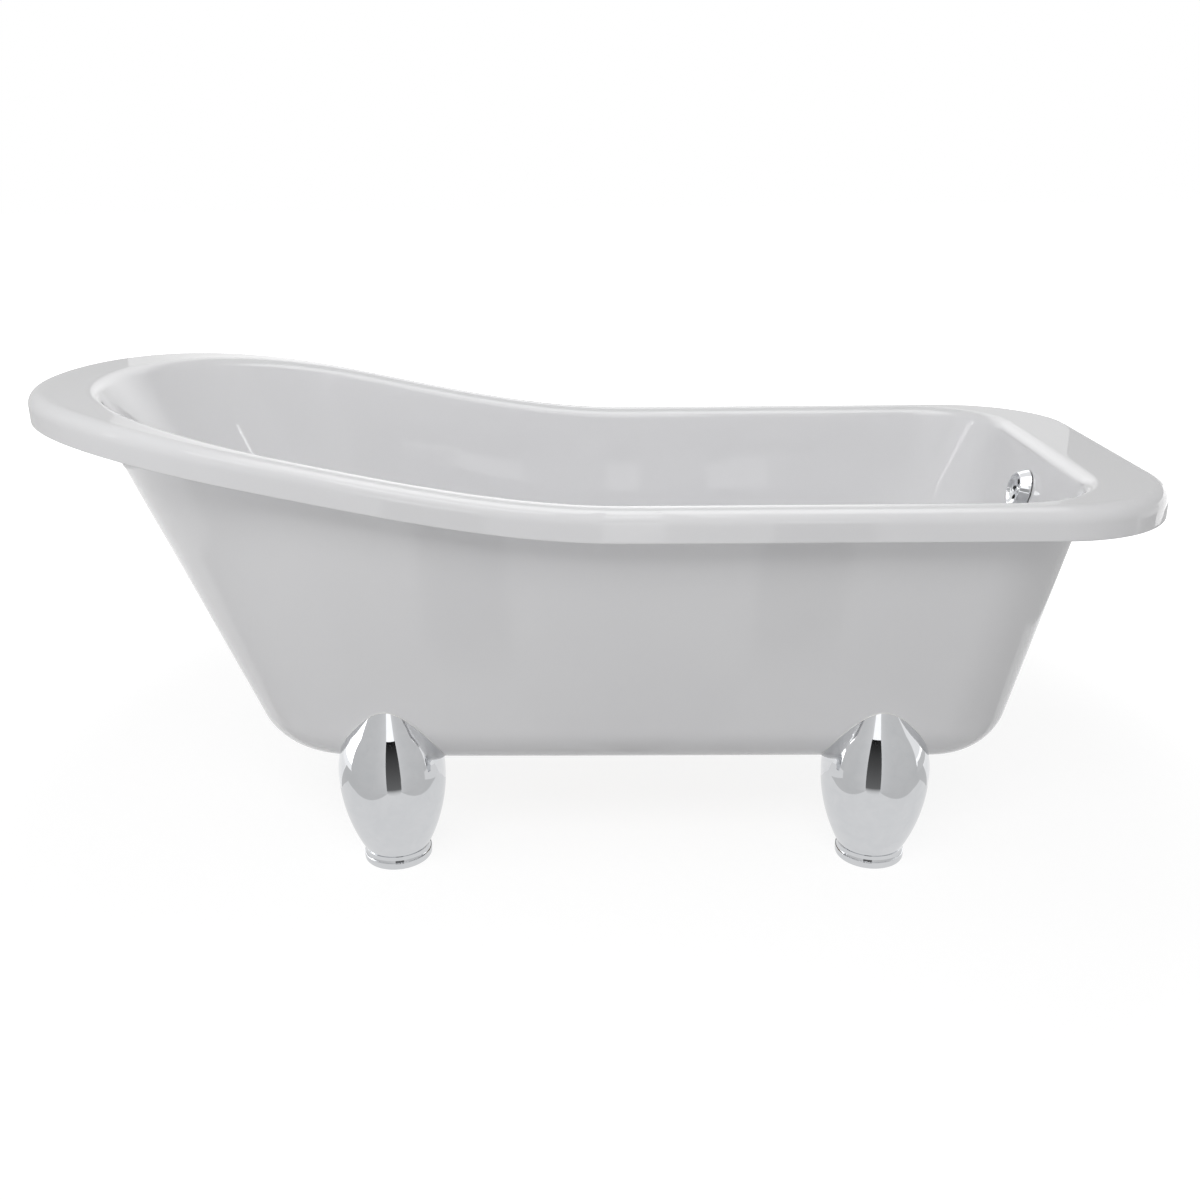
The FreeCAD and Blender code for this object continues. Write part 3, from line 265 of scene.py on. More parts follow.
def combined(piece: bpy.types.Object, others: Sequence[bpy.types.Object], operation: str,
             sharp: float = 32.0) -> bpy.types.Object:
    """Apply exact booleans to a piece and delete the tools.

    Args:
        piece: object whose mesh is changed.
        others: the tool objects.
        operation: "DIFFERENCE" or "UNION".
        sharp: angle in degrees past which edges stay crisp.

    Returns:
        The same piece.
    """
    for other in others:
        step = piece.modifiers.new("cut", "BOOLEAN")
        step.operation, step.solver, step.object = operation, "EXACT", other
    bpy.context.view_layer.update()
    result = piece.evaluated_get(bpy.context.evaluated_depsgraph_get())
    mesh = bpy.data.meshes.new_from_object(result)
    piece.modifiers.clear()
    old, piece.data = piece.data, mesh
    mesh.name = piece.name
    bpy.data.meshes.remove(old)
    for other in others:
        bpy.data.objects.remove(other)
    mesh.shade_smooth()
    mesh.set_sharp_from_angle(angle=math.radians(sharp))
    return piece


# ------------------------------------------------------------------ form of the bath
@dataclass(frozen=True)
class Sheer:
    """Height of the rim along the bath: level, then a smooth rise to the slipper end."""

    level: float = 600.0
    rise: float = 130.0
    start: float = 70.0
    stop: float = -845.0

    def at(self, x: np.ndarray) -> np.ndarray:
        """Rim height at x."""
        k = np.clip((self.start - np.asarray(x)) / (self.start - self.stop), 0.0, 1.0)
        return self.level + self.rise * k * k * (3 - 2 * k)


@dataclass(frozen=True)
class Outline:
    """Plan outline: a superelliptic tip, straight sides and a bowed or straight end."""

    tip: float
    end: float
    half_width: float
    tip_length: float
    power: float
    corner: float
    bow: float = 0.0
    end_steps: int = 10
    corner_steps: int = 28
    side_steps: int = 32
    tip_steps: int = 46

    def ring(self) -> np.ndarray:
        """Outline as a closed ring.

        Returns:
            n x 2 points, from the middle of the end, round by +Y to the tip and back.
        """
        r, b = self.corner, self.half_width
        cy = b - r
        if self.bow:
            middle = self.end - self.bow
            cx = middle + math.sqrt((self.bow - r) ** 2 - cy * cy)
            turn = math.atan2(cy, cx - middle)
            turns = [turn * i / self.end_steps for i in range(self.end_steps)]
            half = [(middle + self.bow * math.cos(w), self.bow * math.sin(w)) for w in turns]
        else:
            cx, turn = self.end - r, 0.0
            half = [(self.end, cy * i / self.end_steps) for i in range(self.end_steps)]
        for i in range(self.corner_steps):
            w = turn + (QUARTER - turn) * i / self.corner_steps
            half.append((cx + r * math.cos(w), cy + r * math.sin(w)))
        stop = -self.tip + self.tip_length
        for i in range(self.side_steps):
            half.append((cx + (stop - cx) * i / self.side_steps, b))
        for i in range(self.tip_steps):
            w = QUARTER * i / self.tip_steps
            half.append((stop - self.tip_length * math.sin(w) ** (2 / self.power),
                         b * math.cos(w) ** (2 / self.power)))
        half.append((-self.tip, 0.0))
        return np.array(half + [(x, -y) for x, y in half[-2:0:-1]])


def outward(ring: np.ndarray) -> np.ndarray:
    """Find the outward normals of a closed plan ring.

    Args:
        ring: n x 2 points.

    Returns:
        n x 2 unit normals.
    """
    along = np.roll(ring, -1, 0) - np.roll(ring, 1, 0)
    normal = np.stack([along[:, 1], -along[:, 0]], 1)
    return normal / np.linalg.norm(normal, axis=1)[:, None]


def rounded(first: np.ndarray, corner: np.ndarray, last: np.ndarray, turn: np.ndarray,
            steps: int) -> np.ndarray:
    """Loops of a round between two tangent directions.

    Args:
        first: n x 3 points where the round starts.
        corner: n x 3 points where its two tangents meet.
        last: n x 3 points where it ends.
        turn: angle turned at each point, in radians.
        steps: number of loops less one.

    Returns:
        (steps + 1) x n x 3 array.
    """
    k = (4 / 3 * np.tan(turn / 4) / np.tan(turn / 2))[:, None]
    b, c = first + (corner - first) * k, last + (corner - last) * k
    return np.array([first * (1 - u) ** 3 + 3 * b * u * (1 - u) ** 2 + 3 * c * u * u * (1 - u)
                     + last * u ** 3 for u in (i / steps for i in range(steps + 1))])


@dataclass(frozen=True)
class Wall:
    """Straight-ruled wall between a floor outline and an outline that follows the sheer."""

    low_plan: Outline
    high_plan: Outline
    level: float
    lift: float
    out: float = 0.0
    sheer: Sheer = Sheer()

    def edges(self) -> tuple[np.ndarray, ...]:
        """Lower and upper edges, their plan normals and the wall's lean at each.

        Returns:
            low (n x 3), high (n x 3), low normals, high normals, low lean, high lean.
        """
        low, high = self.low_plan.ring(), self.high_plan.ring()
        nb, nt = outward(low), outward(high)
        top = self.sheer.at(high[:, 0]) + self.lift
        rise = top - self.level
        b0 = np.arctan(np.sum((high - low) * nb, 1) / rise)
        b1 = np.arctan(np.sum((high - low) * nt, 1) / rise)
        g0 = self.out * (1 - np.sin(b0)) / np.cos(b0)
        g1 = self.out * (1 - np.sin(b1)) / np.cos(b1)
        lo = np.column_stack([low + nb * g0[:, None], np.full(len(low), self.level - self.out)])
        hi = np.column_stack([high + nt * g1[:, None], top - self.out])
        return lo, hi, nb, nt, b0, b1

    def bilge(self, radius: float, steps: int) -> np.ndarray:
        """Round off the corner between the floor and the wall.

        Args:
            radius: radius of the round.
            steps: number of loops less one.

        Returns:
            Loops of the round, floor first.
        """
        lo, hi, nb, _, b0, _ = self.edges()
        up = (hi - lo) / np.linalg.norm(hi - lo, axis=1)[:, None]
        turn = QUARTER - b0
        reach = (radius * np.tan(turn / 2))[:, None]
        first = lo - np.column_stack([nb, np.zeros(len(nb))]) * reach
        return rounded(first, lo, lo + up * reach, turn, steps)

    def roll(self, radius: float, steps: int) -> np.ndarray:
        """Round off the corner between the wall and the rim's deck.

        Args:
            radius: radius of the round.
            steps: number of loops less one.

        Returns:
            Loops of the round, wall first.
        """
        lo, hi, _, nt, _, b1 = self.edges()
        up = (hi - lo) / np.linalg.norm(hi - lo, axis=1)[:, None]
        turn = QUARTER - b1
        reach = (radius * np.tan(turn / 2))[:, None]
        last = hi + np.column_stack([nt, np.zeros(len(nt))]) * reach
        last[:, 2] += self.sheer.at(last[:, 0]) - self.sheer.at(hi[:, 0])
        return rounded(hi - up * reach, hi, last, turn, steps)


def between(a: np.ndarray, b: np.ndarray, steps: int) -> np.ndarray:
    """Straight loops from a to b, both included."""
    return np.array([a + (b - a) * i / steps for i in range(steps + 1)])


def plate(edge: np.ndarray, holes: Sequence[np.ndarray]) -> tuple[np.ndarray, list[list[int]]]:
    """Fill a nearly flat ring, leaving holes.

    Args:
        edge: n x 3 outer ring.
        holes: inner rings.

    Returns:
        Points and triangles; the points start with the rings in the order given.
    """
    body = bmesh.new()
    edges = []
    for ring in (edge, *holes):
        verts = [body.verts.new(p) for p in ring]
        edges += [body.edges.new((verts[i], verts[(i + 1) % len(verts)]))
                  for i in range(len(verts))]
    bmesh.ops.triangle_fill(body, use_beauty=True, use_dissolve=False, edges=edges,
                            normal=(0.0, 0.0, 1.0))
    body.verts.index_update()
    points = np.array([v.co[:] for v in body.verts])
    faces = [[v.index for v in f.verts] for f in body.faces]
    body.free()
    return points, faces


class Skin:
    """Collects loops and plates of one skin and writes them as a closed mesh."""

    def __init__(self) -> None:
        """Start empty; backing marks the faces added from then on as the back of the sheet."""
        self.points: list[np.ndarray] = []
        self.faces: list[Sequence[int]] = []
        self.back: list[int] = []
        self.count = 0
        self.backing = False

    def add(self, points: np.ndarray, faces: Sequence[Sequence[int]]) -> None:
        """Add faces that count their points from zero.

        Args:
            points: n x 3 points.
            faces: point numbers of each face.
        """
        self.faces += [[i + self.count for i in f] for f in faces]
        self.back += [int(self.backing)] * len(faces)
        self.points.append(points)
        self.count += len(points)

    def loops(self, rows: np.ndarray) -> None:
        """Add quads between closed loops.

        Args:
            rows: loops x points x 3 array.
        """
        n = rows.shape[1]
        self.add(rows.reshape(-1, 3),
                 [(r * n + i, r * n + (i + 1) % n, (r + 1) * n + (i + 1) % n, (r + 1) * n + i)
                  for r in range(len(rows) - 1) for i in range(n)])

    def sheet(self, edge: np.ndarray, holes: Sequence[np.ndarray] = ()) -> None:
        """Add a flat fill with holes."""
        self.add(*plate(edge, holes))

    def write(self, name: str) -> bpy.types.Object:
        """Write the mesh; coincident points are merged and the back is its second material."""
        return write_mesh(name, np.concatenate(self.points), self.faces, back=self.back)


def circle(x: float, y: float, radius: float, level: Any, count: int) -> np.ndarray:
    """Make a ring of points round a vertical axis.

    Args:
        x: place of the axis along the bath.
        y: place of the axis across the bath.
        radius: radius.
        level: height, a number or a function of x.
        count: number of points.

    Returns:
        count x 3 points.
    """
    t = np.arange(count) * 2 * math.pi / count
    px, py = x + radius * np.cos(t), y + radius * np.sin(t)
    pz = level(px) if callable(level) else np.full(count, float(level))
    return np.column_stack([px, py, pz])


class Side(Enum):
    """Long side of the bath."""

    FRONT = -1
    BACK = 1


RIM = Outline(tip=850, end=850, half_width=375, tip_length=422, power=2.12, corner=196)
OPENING = Outline(tip=750, end=733, half_width=331, tip_length=350, power=2.1, corner=140)
FLOOR = Outline(tip=455, end=638, half_width=228, tip_length=260, power=2.0, corner=190)
HULL_LOW = Outline(tip=518, end=666, half_width=255, tip_length=200, power=2.6, corner=120,
                   bow=900)
HULL_HIGH = Outline(tip=756, end=761, half_width=342, tip_length=410, power=2.1, corner=155,
                    bow=750)
SHEET = 5.0
FLOOR_LEVEL = 177.0
HULL_LEVEL, HULL_LIFT, HULL_BILGE = 149.0, -44.0, 95.0
FOOT_X = {"slipper": -300.0, "tap": 450.0}
CORNERS = tuple("%s_%s" % (end, side.name.lower()) for end in FOOT_X for side in Side)
BOLT_Y, BOLT_STEP, BOLT_HOLE = 88.0, 18.0, 5.5
WASTE_X = 430.0
WASTE_HOLE, OVERFLOW_HOLE = 26.0, 27.0
OVERFLOW_DROP = 76.0
WALL_LEAN = math.atan((OPENING.end - FLOOR.end) / (Sheer.level - FLOOR_LEVEL))
WALL_PLACE = (Matrix.Translation(Vector((OPENING.end - math.tan(WALL_LEAN) * OVERFLOW_DROP, 0,
                                         Sheer.level - OVERFLOW_DROP)) * MM)
              @ Matrix.Rotation(WALL_LEAN - QUARTER, 4, "Y"))


# ------------------------------------------------------------------ finishes
def per(size: float) -> float:
    """Texture scale whose features are this many millimetres across."""
    return 1000.0 / size


class Surface:
    """Material that holds one Principled shader, to be filled in by a finish."""

    def __init__(self, name: str) -> None:
        """Start with the shader, its output and the object coordinates."""
        self.material = bpy.data.materials.new(name)
        self.tree = empty_tree(self.material)
        self.shader = add_node(self.tree, "ShaderNodeBsdfPrincipled")
        add_node(self.tree, "ShaderNodeOutputMaterial", links={"Surface": self.shader.outputs[0]})
        self.place = add_node(self.tree, "ShaderNodeTexCoord").outputs["Object"]


@dataclass(frozen=True)
class Finish:
    """What all finishes share: two near colours and a range of roughness."""

    name: str
    colour: str
    shade: str
    gloss: Pair

    def wire(self, surface: Surface, tint: bpy.types.NodeSocket, dull: bpy.types.NodeSocket,
             height: bpy.types.NodeSocket, depth: float, span: Pair = (0.0, 1.0),
             under: Optional[bpy.types.NodeSocket] = None) -> bpy.types.Material:
        """Lead the textures of a finish to its shader.

        Args:
            surface: material being made.
            tint: texture that runs from the colour to the shade.
            dull: texture that runs through the roughness.
            height: texture of the relief.
            depth: depth of the relief in millimetres.
            span: values of dull at which the roughness starts and stops changing.
            under: normals that the relief lies on.

        Returns:
            The material.
        """
        tree = surface.tree
        colour = add_node(tree, "ShaderNodeMix", {
            "data_type": "RGBA", "in:6": linear(self.colour), "in:7": linear(self.shade)},
            {0: tint})
        rough = add_node(tree, "ShaderNodeMapRange", {
            "in:From Min": span[0], "in:From Max": span[1], "in:To Min": self.gloss[0],
            "in:To Max": self.gloss[1]}, {"Value": dull})
        relief = add_node(tree, "ShaderNodeBump", {"in:Distance": depth * MM},
                          {"Height": height, **({"Normal": under} if under else {})})
        for socket, source in (("Base Color", colour.outputs[2]), ("Roughness", rough.outputs[0]),
                               ("Normal", relief.outputs[0])):
            tree.links.new(source, surface.shader.inputs[socket])
        return surface.material


@dataclass(frozen=True)
class FormedAcrylic(Finish):
    """Cast acrylic sheet, vacuum-formed and left with its own gloss.

    To the eye: an even, neutral white with a tight clear reflection that wanders a little,
    because the warm sheet follows the mould's long waves.
    """

    colour: str = "#F3F3F4"
    shade: str = "#EFEFF1"
    gloss: Pair = (0.02, 0.05)
    ior: float = 1.49
    drift: float = 260.0
    wipe: float = 38.0
    wave: float = 85.0
    wave_depth: float = 0.12
    peel: float = 4.0
    peel_depth: float = 0.0012

    def material(self) -> bpy.types.Material:
        """Build the node material.

        Returns:
            The material.
        """
        base = Surface(self.name)
        base.shader.inputs["IOR"].default_value = self.ior
        cloud, wipes, wave, peel = (
            add_node(base.tree, "ShaderNodeTexNoise", {"in:Scale": per(size), "in:Detail": detail},
                     {"Vector": base.place}).outputs[0]
            for size, detail in ((self.drift, 2.0), (self.wipe, 5.0), (self.wave, 1.0),
                                 (self.peel, 2.0)))
        swell = add_node(base.tree, "ShaderNodeBump", {"in:Distance": self.wave_depth * MM},
                         {"Height": wave})
        return self.wire(base, cloud, wipes, peel, self.peel_depth, (0.35, 0.75),
                         swell.outputs[0])


@dataclass(frozen=True)
class LaidGlassFibre(Finish):
    """Chopped glass mat in polyester resin, sprayed on the back of the acrylic and rolled.

    To the eye: a dull greyish cream with the tangle of strands standing in the resin. The
    strands are a millimetre or two apart, drawn at 5 mm so that they show.
    """

    name: str = "glass_fibre_backing"
    colour: str = "#DDDAC9"
    shade: str = "#C9C5AE"
    gloss: Pair = (0.42, 0.75)
    pitch: float = 5.0
    pool: float = 40.0
    depth: float = 0.35

    def material(self) -> bpy.types.Material:
        """Build the node material.

        Returns:
            The material.
        """
        base = Surface(self.name)
        mat = add_node(base.tree, "ShaderNodeTexVoronoi", {
            "feature": "DISTANCE_TO_EDGE", "in:Scale": per(self.pitch)}, {"Vector": base.place})
        pools = add_node(base.tree, "ShaderNodeTexNoise", {
            "in:Scale": per(self.pool), "in:Detail": 6.0, "in:Distortion": 1.5},
            {"Vector": base.place}).outputs[0]
        return self.wire(base, pools, pools, mat.outputs[0], self.depth)


@dataclass(frozen=True)
class ChromePlate(Finish):
    """Bright chromium over polished nickel, on a casting or a spun brass piece.

    To the eye: a cool mirror. Only faint wiping marks break the reflection, and the polished
    casting under it leaves a very slight slow ripple.
    """

    colour: str = "#E3E4E6"
    shade: str = "#D6D8DB"
    gloss: Pair = (0.025, 0.07)
    wipe: float = 22.0
    ripple: float = 30.0
    ripple_depth: float = 0.010

    def material(self) -> bpy.types.Material:
        """Build the node material.

        Returns:
            The material.
        """
        base = Surface(self.name)
        base.shader.inputs["Metallic"].default_value = 1.0
        film = add_node(base.tree, "ShaderNodeTexNoise", {
            "in:Scale": per(self.wipe), "in:Detail": 6.0, "in:Distortion": 0.6},
            {"Vector": base.place}).outputs[0]
        cast = add_node(base.tree, "ShaderNodeTexNoise", {
            "in:Scale": per(self.ripple), "in:Detail": 1.0}, {"Vector": base.place})
        return self.wire(base, film, film, cast.outputs[0], self.ripple_depth, (0.4, 0.75))


@dataclass(frozen=True)
class TurnedMetal(Finish):
    """Metal cut on a lathe or rolled as thread and hexagon bar, plated or left bare.

    To the eye: fine parallel tool marks round the piece. They are about 0.2 mm apart, drawn at
    0.6 mm so that they show close by.
    """

    gloss: Pair = (0.22, 0.42)
    mark: float = 0.6
    stretch: float = 0.04
    stain: float = 7.0
    depth: float = 0.02

    def material(self) -> bpy.types.Material:
        """Build the node material.

        Returns:
            The material.
        """
        base = Surface(self.name)
        base.shader.inputs["Metallic"].default_value = 1.0
        flat = add_node(base.tree, "ShaderNodeMapping", {
            "in:Scale": (self.stretch, self.stretch, 1.0)}, {"Vector": base.place})
        marks = add_node(base.tree, "ShaderNodeTexNoise", {
            "in:Scale": per(self.mark), "in:Detail": 3.0}, {"Vector": flat.outputs[0]})
        cloud = add_node(base.tree, "ShaderNodeTexNoise", {
            "in:Scale": per(self.stain), "in:Detail": 4.0}, {"Vector": base.place}).outputs[0]
        return self.wire(base, cloud, cloud, marks.outputs[0], self.depth)


@dataclass(frozen=True)
class ChipBoard(Finish):
    """Particle board: wood chips pressed with resin, sawn and sealed.

    To the eye: small pale and brown flakes lying every way, 2 to 6 mm long, under a dull seal.
    """

    name: str = "particle_board"
    colour: str = "#C7A777"
    shade: str = "#86643D"
    gloss: Pair = (0.55, 0.8)
    chip: float = 4.0
    squash: float = 2.6
    depth: float = 0.12

    def material(self) -> bpy.types.Material:
        """Build the node material.

        Returns:
            The material.
        """
        base = Surface(self.name)
        squat = add_node(base.tree, "ShaderNodeMapping", {"in:Scale": (1.0, 1.0, self.squash)},
                         {"Vector": base.place})
        chips = add_node(base.tree, "ShaderNodeTexVoronoi", {"in:Scale": per(self.chip)},
                         {"Vector": squat.outputs[0]})
        grey = add_node(base.tree, "ShaderNodeSeparateColor",
                        links={"Color": chips.outputs["Color"]})
        return self.wire(base, grey.outputs[0], grey.outputs[1], chips.outputs["Distance"],
                         self.depth)


@dataclass(frozen=True)
class MouldedPolymer(Finish):
    """Rubber, nylon or polypropylene pressed or injected in a spark-finished mould.

    To the eye: one colour through and through, with the fine pebble of the mould's wall and a
    little more shine where it has been handled.
    """

    gloss: Pair = (0.35, 0.55)
    pebble: float = 0.9
    depth: float = 0.02
    handling: float = 12.0

    def material(self) -> bpy.types.Material:
        """Build the node material.

        Returns:
            The material.
        """
        base = Surface(self.name)
        cloud, wall = (
            add_node(base.tree, "ShaderNodeTexNoise", {"in:Scale": per(size), "in:Detail": detail},
                     {"Vector": base.place}).outputs[0]
            for size, detail in ((self.handling, 4.0), (self.pebble, 2.0)))
        return self.wire(base, cloud, cloud, wall, self.depth)


def fit_out(piece: bpy.types.Object, body: str, node: str,
            finishes: Sequence[bpy.types.Material]) -> None:
    """Dress a new piece and let it stand for a node.

    Args:
        piece: the new object.
        body: body that it moves with.
        node: node that it stands for.
        finishes: materials in slot order.
    """
    piece.data.materials.clear()
    for finish in finishes:
        piece.data.materials.append(finish)
    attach(piece, body)
    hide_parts(node)
    LOG.info("%s stands for %s, %d points", piece.name, node, len(piece.data.vertices))


# ------------------------------------------------------------------ the two skins
@dataclass
class Basin:
    """Inner sheet in one piece: skirt, rolled rim, deck, walls and floor."""

    thickness: float = SHEET
    skirt_drop: float = 46.0
    skirt_edge: float = 1.6
    outer_roll: float = 22.0
    inner_roll: float = 23.0
    bilge: float = 110.0
    level: float = FLOOR_LEVEL
    fall: float = 0.005
    recess: float = 37.0
    recess_depth: float = 1.6
    round_steps: tuple[int, int] = (16, 8)
    hole_steps: int = 64
    drill_reach: float = 30.0
    sheer: Sheer = Sheer()

    def floor_at(self, x: np.ndarray) -> np.ndarray:
        """Floor height at x: it falls towards the waste."""
        return self.level + self.fall * (WASTE_X - np.asarray(x))

    def rim(self, inset: float, lift: float) -> np.ndarray:
        """Make a ring that follows the rim.

        Args:
            inset: distance in from the rim's outline.
            lift: height over the sheer.

        Returns:
            n x 3 points.
        """
        ring = RIM.ring()
        ring = ring - outward(ring) * inset
        return np.column_stack([ring, self.sheer.at(ring[:, 0]) + lift])

    def rows(self, out: float, steps: int) -> list[np.ndarray]:
        """Loops of one side of the sheet, from the skirt to the floor.

        Args:
            out: 0 for the upper side, the thickness for the under side.
            steps: loops in each round.

        Returns:
            Row groups in order; the last row is the floor's edge.
        """
        edge = RIM.ring()
        edge = edge - outward(edge) * out
        normal = outward(edge)
        radius = self.outer_roll - out
        deck = edge - normal * radius
        first = np.column_stack([deck, self.sheer.at(deck[:, 0]) - out])
        corner = np.column_stack([edge, self.sheer.at(edge[:, 0]) - out])
        outer = rounded(first, corner, corner - [0, 0, radius], np.full(len(edge), QUARTER), steps)
        wall = Wall(FLOOR, OPENING, self.level, 0.0, out)
        inner = wall.roll(self.inner_roll - out, steps)
        low = wall.bilge(self.bilge + out, steps * 2)
        if not out:
            k = np.clip(1 - (low[..., 2] - self.level) / self.bilge, 0, 1)
            low[..., 2] += k * self.fall * (WASTE_X - low[..., 0])
        skirt = np.column_stack([edge, self.sheer.at(edge[:, 0])
                                 - self.skirt_drop + self.skirt_edge])
        return [between(skirt, outer[-1], steps // 2)[:-1], outer[::-1],
                between(outer[0], inner[-1], steps)[1:-1], inner[::-1],
                between(inner[0], low[-1], steps * 3)[1:-1], low[::-1]]

    def build(self) -> bpy.types.Object:
        """Build the sheet with its waste recess and overflow hole.

        Returns:
            The basin.
        """
        seat, back = self.level - self.recess_depth, self.level - self.thickness
        top, under = (np.concatenate(self.rows(out, steps))
                      for out, steps in zip((0.0, self.thickness), self.round_steps))
        holes = [circle(WASTE_X, 0, radius, level, self.hole_steps) for radius, level in (
            (self.recess, self.floor_at), (self.recess, seat), (WASTE_HOLE, seat),
            (WASTE_HOLE, back))]
        skin = Skin()
        skin.loops(top)
        skin.sheet(top[-1], holes[:1])
        skin.loops(np.array(holes))
        r, t = self.skirt_edge, self.thickness
        lip = [(r * (1 - math.cos(w)), r * (1 - math.sin(w))) for w in np.linspace(0, QUARTER, 5)]
        lip += [(t - i, z) for i, z in reversed(lip)]
        skin.loops(np.array([self.rim(i, z - self.skirt_drop) for i, z in lip]))
        skin.backing = True
        skin.loops(under)
        skin.sheet(under[-1], holes[-1:])
        piece = skin.write("basin")
        reach = self.drill_reach
        drill = write_mesh("overflow_drill", *spun([(0, -reach), (OVERFLOW_HOLE, -reach),
                                                    (OVERFLOW_HOLE, reach), (0, reach)],
                                                   self.hole_steps))
        drill.data.transform(WALL_PLACE)
        return combined(piece, [drill], "DIFFERENCE")


@dataclass
class OuterSkin:
    """Tapered body under the rim, with its flange, service hatch and bolt holes."""

    thickness: float = SHEET
    hatch: tuple[float, float, float, float] = (372.0, 634.0, 58.0, 18.0)
    corner_steps: int = 8
    hole_steps: int = 24
    outer_steps: tuple[int, int, int] = (4, 44, 30)
    inner_steps: tuple[int, int, int] = (3, 16, 12)
    sheer: Sheer = Sheer()

    def hatch_ring(self, level: float) -> np.ndarray:
        """Make the rounded outline of the hatch.

        Args:
            level: height.

        Returns:
            n x 3 points.
        """
        x0, x1, y, r = self.hatch
        out = []
        for cx, cy, start in ((x1 - r, y - r, 0), (x0 + r, y - r, 90), (x0 + r, r - y, 180),
                              (x1 - r, r - y, 270)):
            for i in range(self.corner_steps + 1):
                w = math.radians(start + 90 * i / self.corner_steps)
                out.append((cx + r * math.cos(w), cy + r * math.sin(w), level))
        return np.array(out)

    def build(self) -> bpy.types.Object:
        """Build the skin as one closed sheet.

        Returns:
            The skin.
        """
        outer = Wall(HULL_LOW, HULL_HIGH, HULL_LEVEL, HULL_LIFT)
        inner = Wall(HULL_LOW, HULL_HIGH, HULL_LEVEL, HULL_LIFT, -self.thickness)
        out_low = outer.bilge(HULL_BILGE, self.outer_steps[2])
        in_low = inner.bilge(HULL_BILGE - self.thickness, self.inner_steps[2])
        out_high, in_high = outer.edges()[1], inner.edges()[1]
        edge = RIM.ring()
        edge = edge - outward(edge) * SHEET
        flange = np.column_stack([edge, self.sheer.at(edge[:, 0]) + HULL_LIFT])
        up = [0, 0, self.thickness]
        skin = Skin()
        skin.loops(between(flange, out_high, self.outer_steps[0]))
        skin.loops(np.concatenate([between(out_high, out_low[-1], self.outer_steps[1])[:-1],
                                   out_low[::-1]]))
        low = [self.hatch_ring(HULL_LEVEL)] + [
            circle(x + step, y, BOLT_HOLE, HULL_LEVEL, self.hole_steps)
            for x in FOOT_X.values() for y in (-BOLT_Y, BOLT_Y) for step in (-BOLT_STEP, BOLT_STEP)]
        high = [ring + up for ring in low]
        skin.sheet(out_low[0], low)
        for a, b in zip(low, high):
            skin.loops(np.array([a, b]))
        skin.backing = True
        skin.loops(np.array([flange, flange + up]))
        skin.loops(between(flange + up, in_high, self.inner_steps[0]))
        skin.loops(np.concatenate([between(in_high, in_low[-1], self.inner_steps[1])[:-1],
                                   in_low[::-1]]))
        skin.sheet(in_low[0], high)
        return skin.write("body_skin")


def hull_tool(gap: float, flat: float = 335.0) -> bpy.types.Object:
    """Make the solid inside the outer skin, to trim the feet with.

    Args:
        gap: how far it stands out from the skin.
        flat: level of its top.

    Returns:
        The tool.
    """
    wall = Wall(HULL_LOW, HULL_HIGH, HULL_LEVEL, HULL_LIFT, gap)
    low, high = wall.bilge(HULL_BILGE + gap, 40), wall.edges()[1]
    k = ((flat - low[-1][:, 2]) / (high[:, 2] - low[-1][:, 2]))[:, None]
    ring = low[-1] + (high - low[-1]) * k
    skin = Skin()
    skin.loops(np.concatenate([low, between(low[-1], ring, 12)[1:]]))
    skin.sheet(low[0])
    skin.sheet(ring)
    return skin.write("hull_tool")


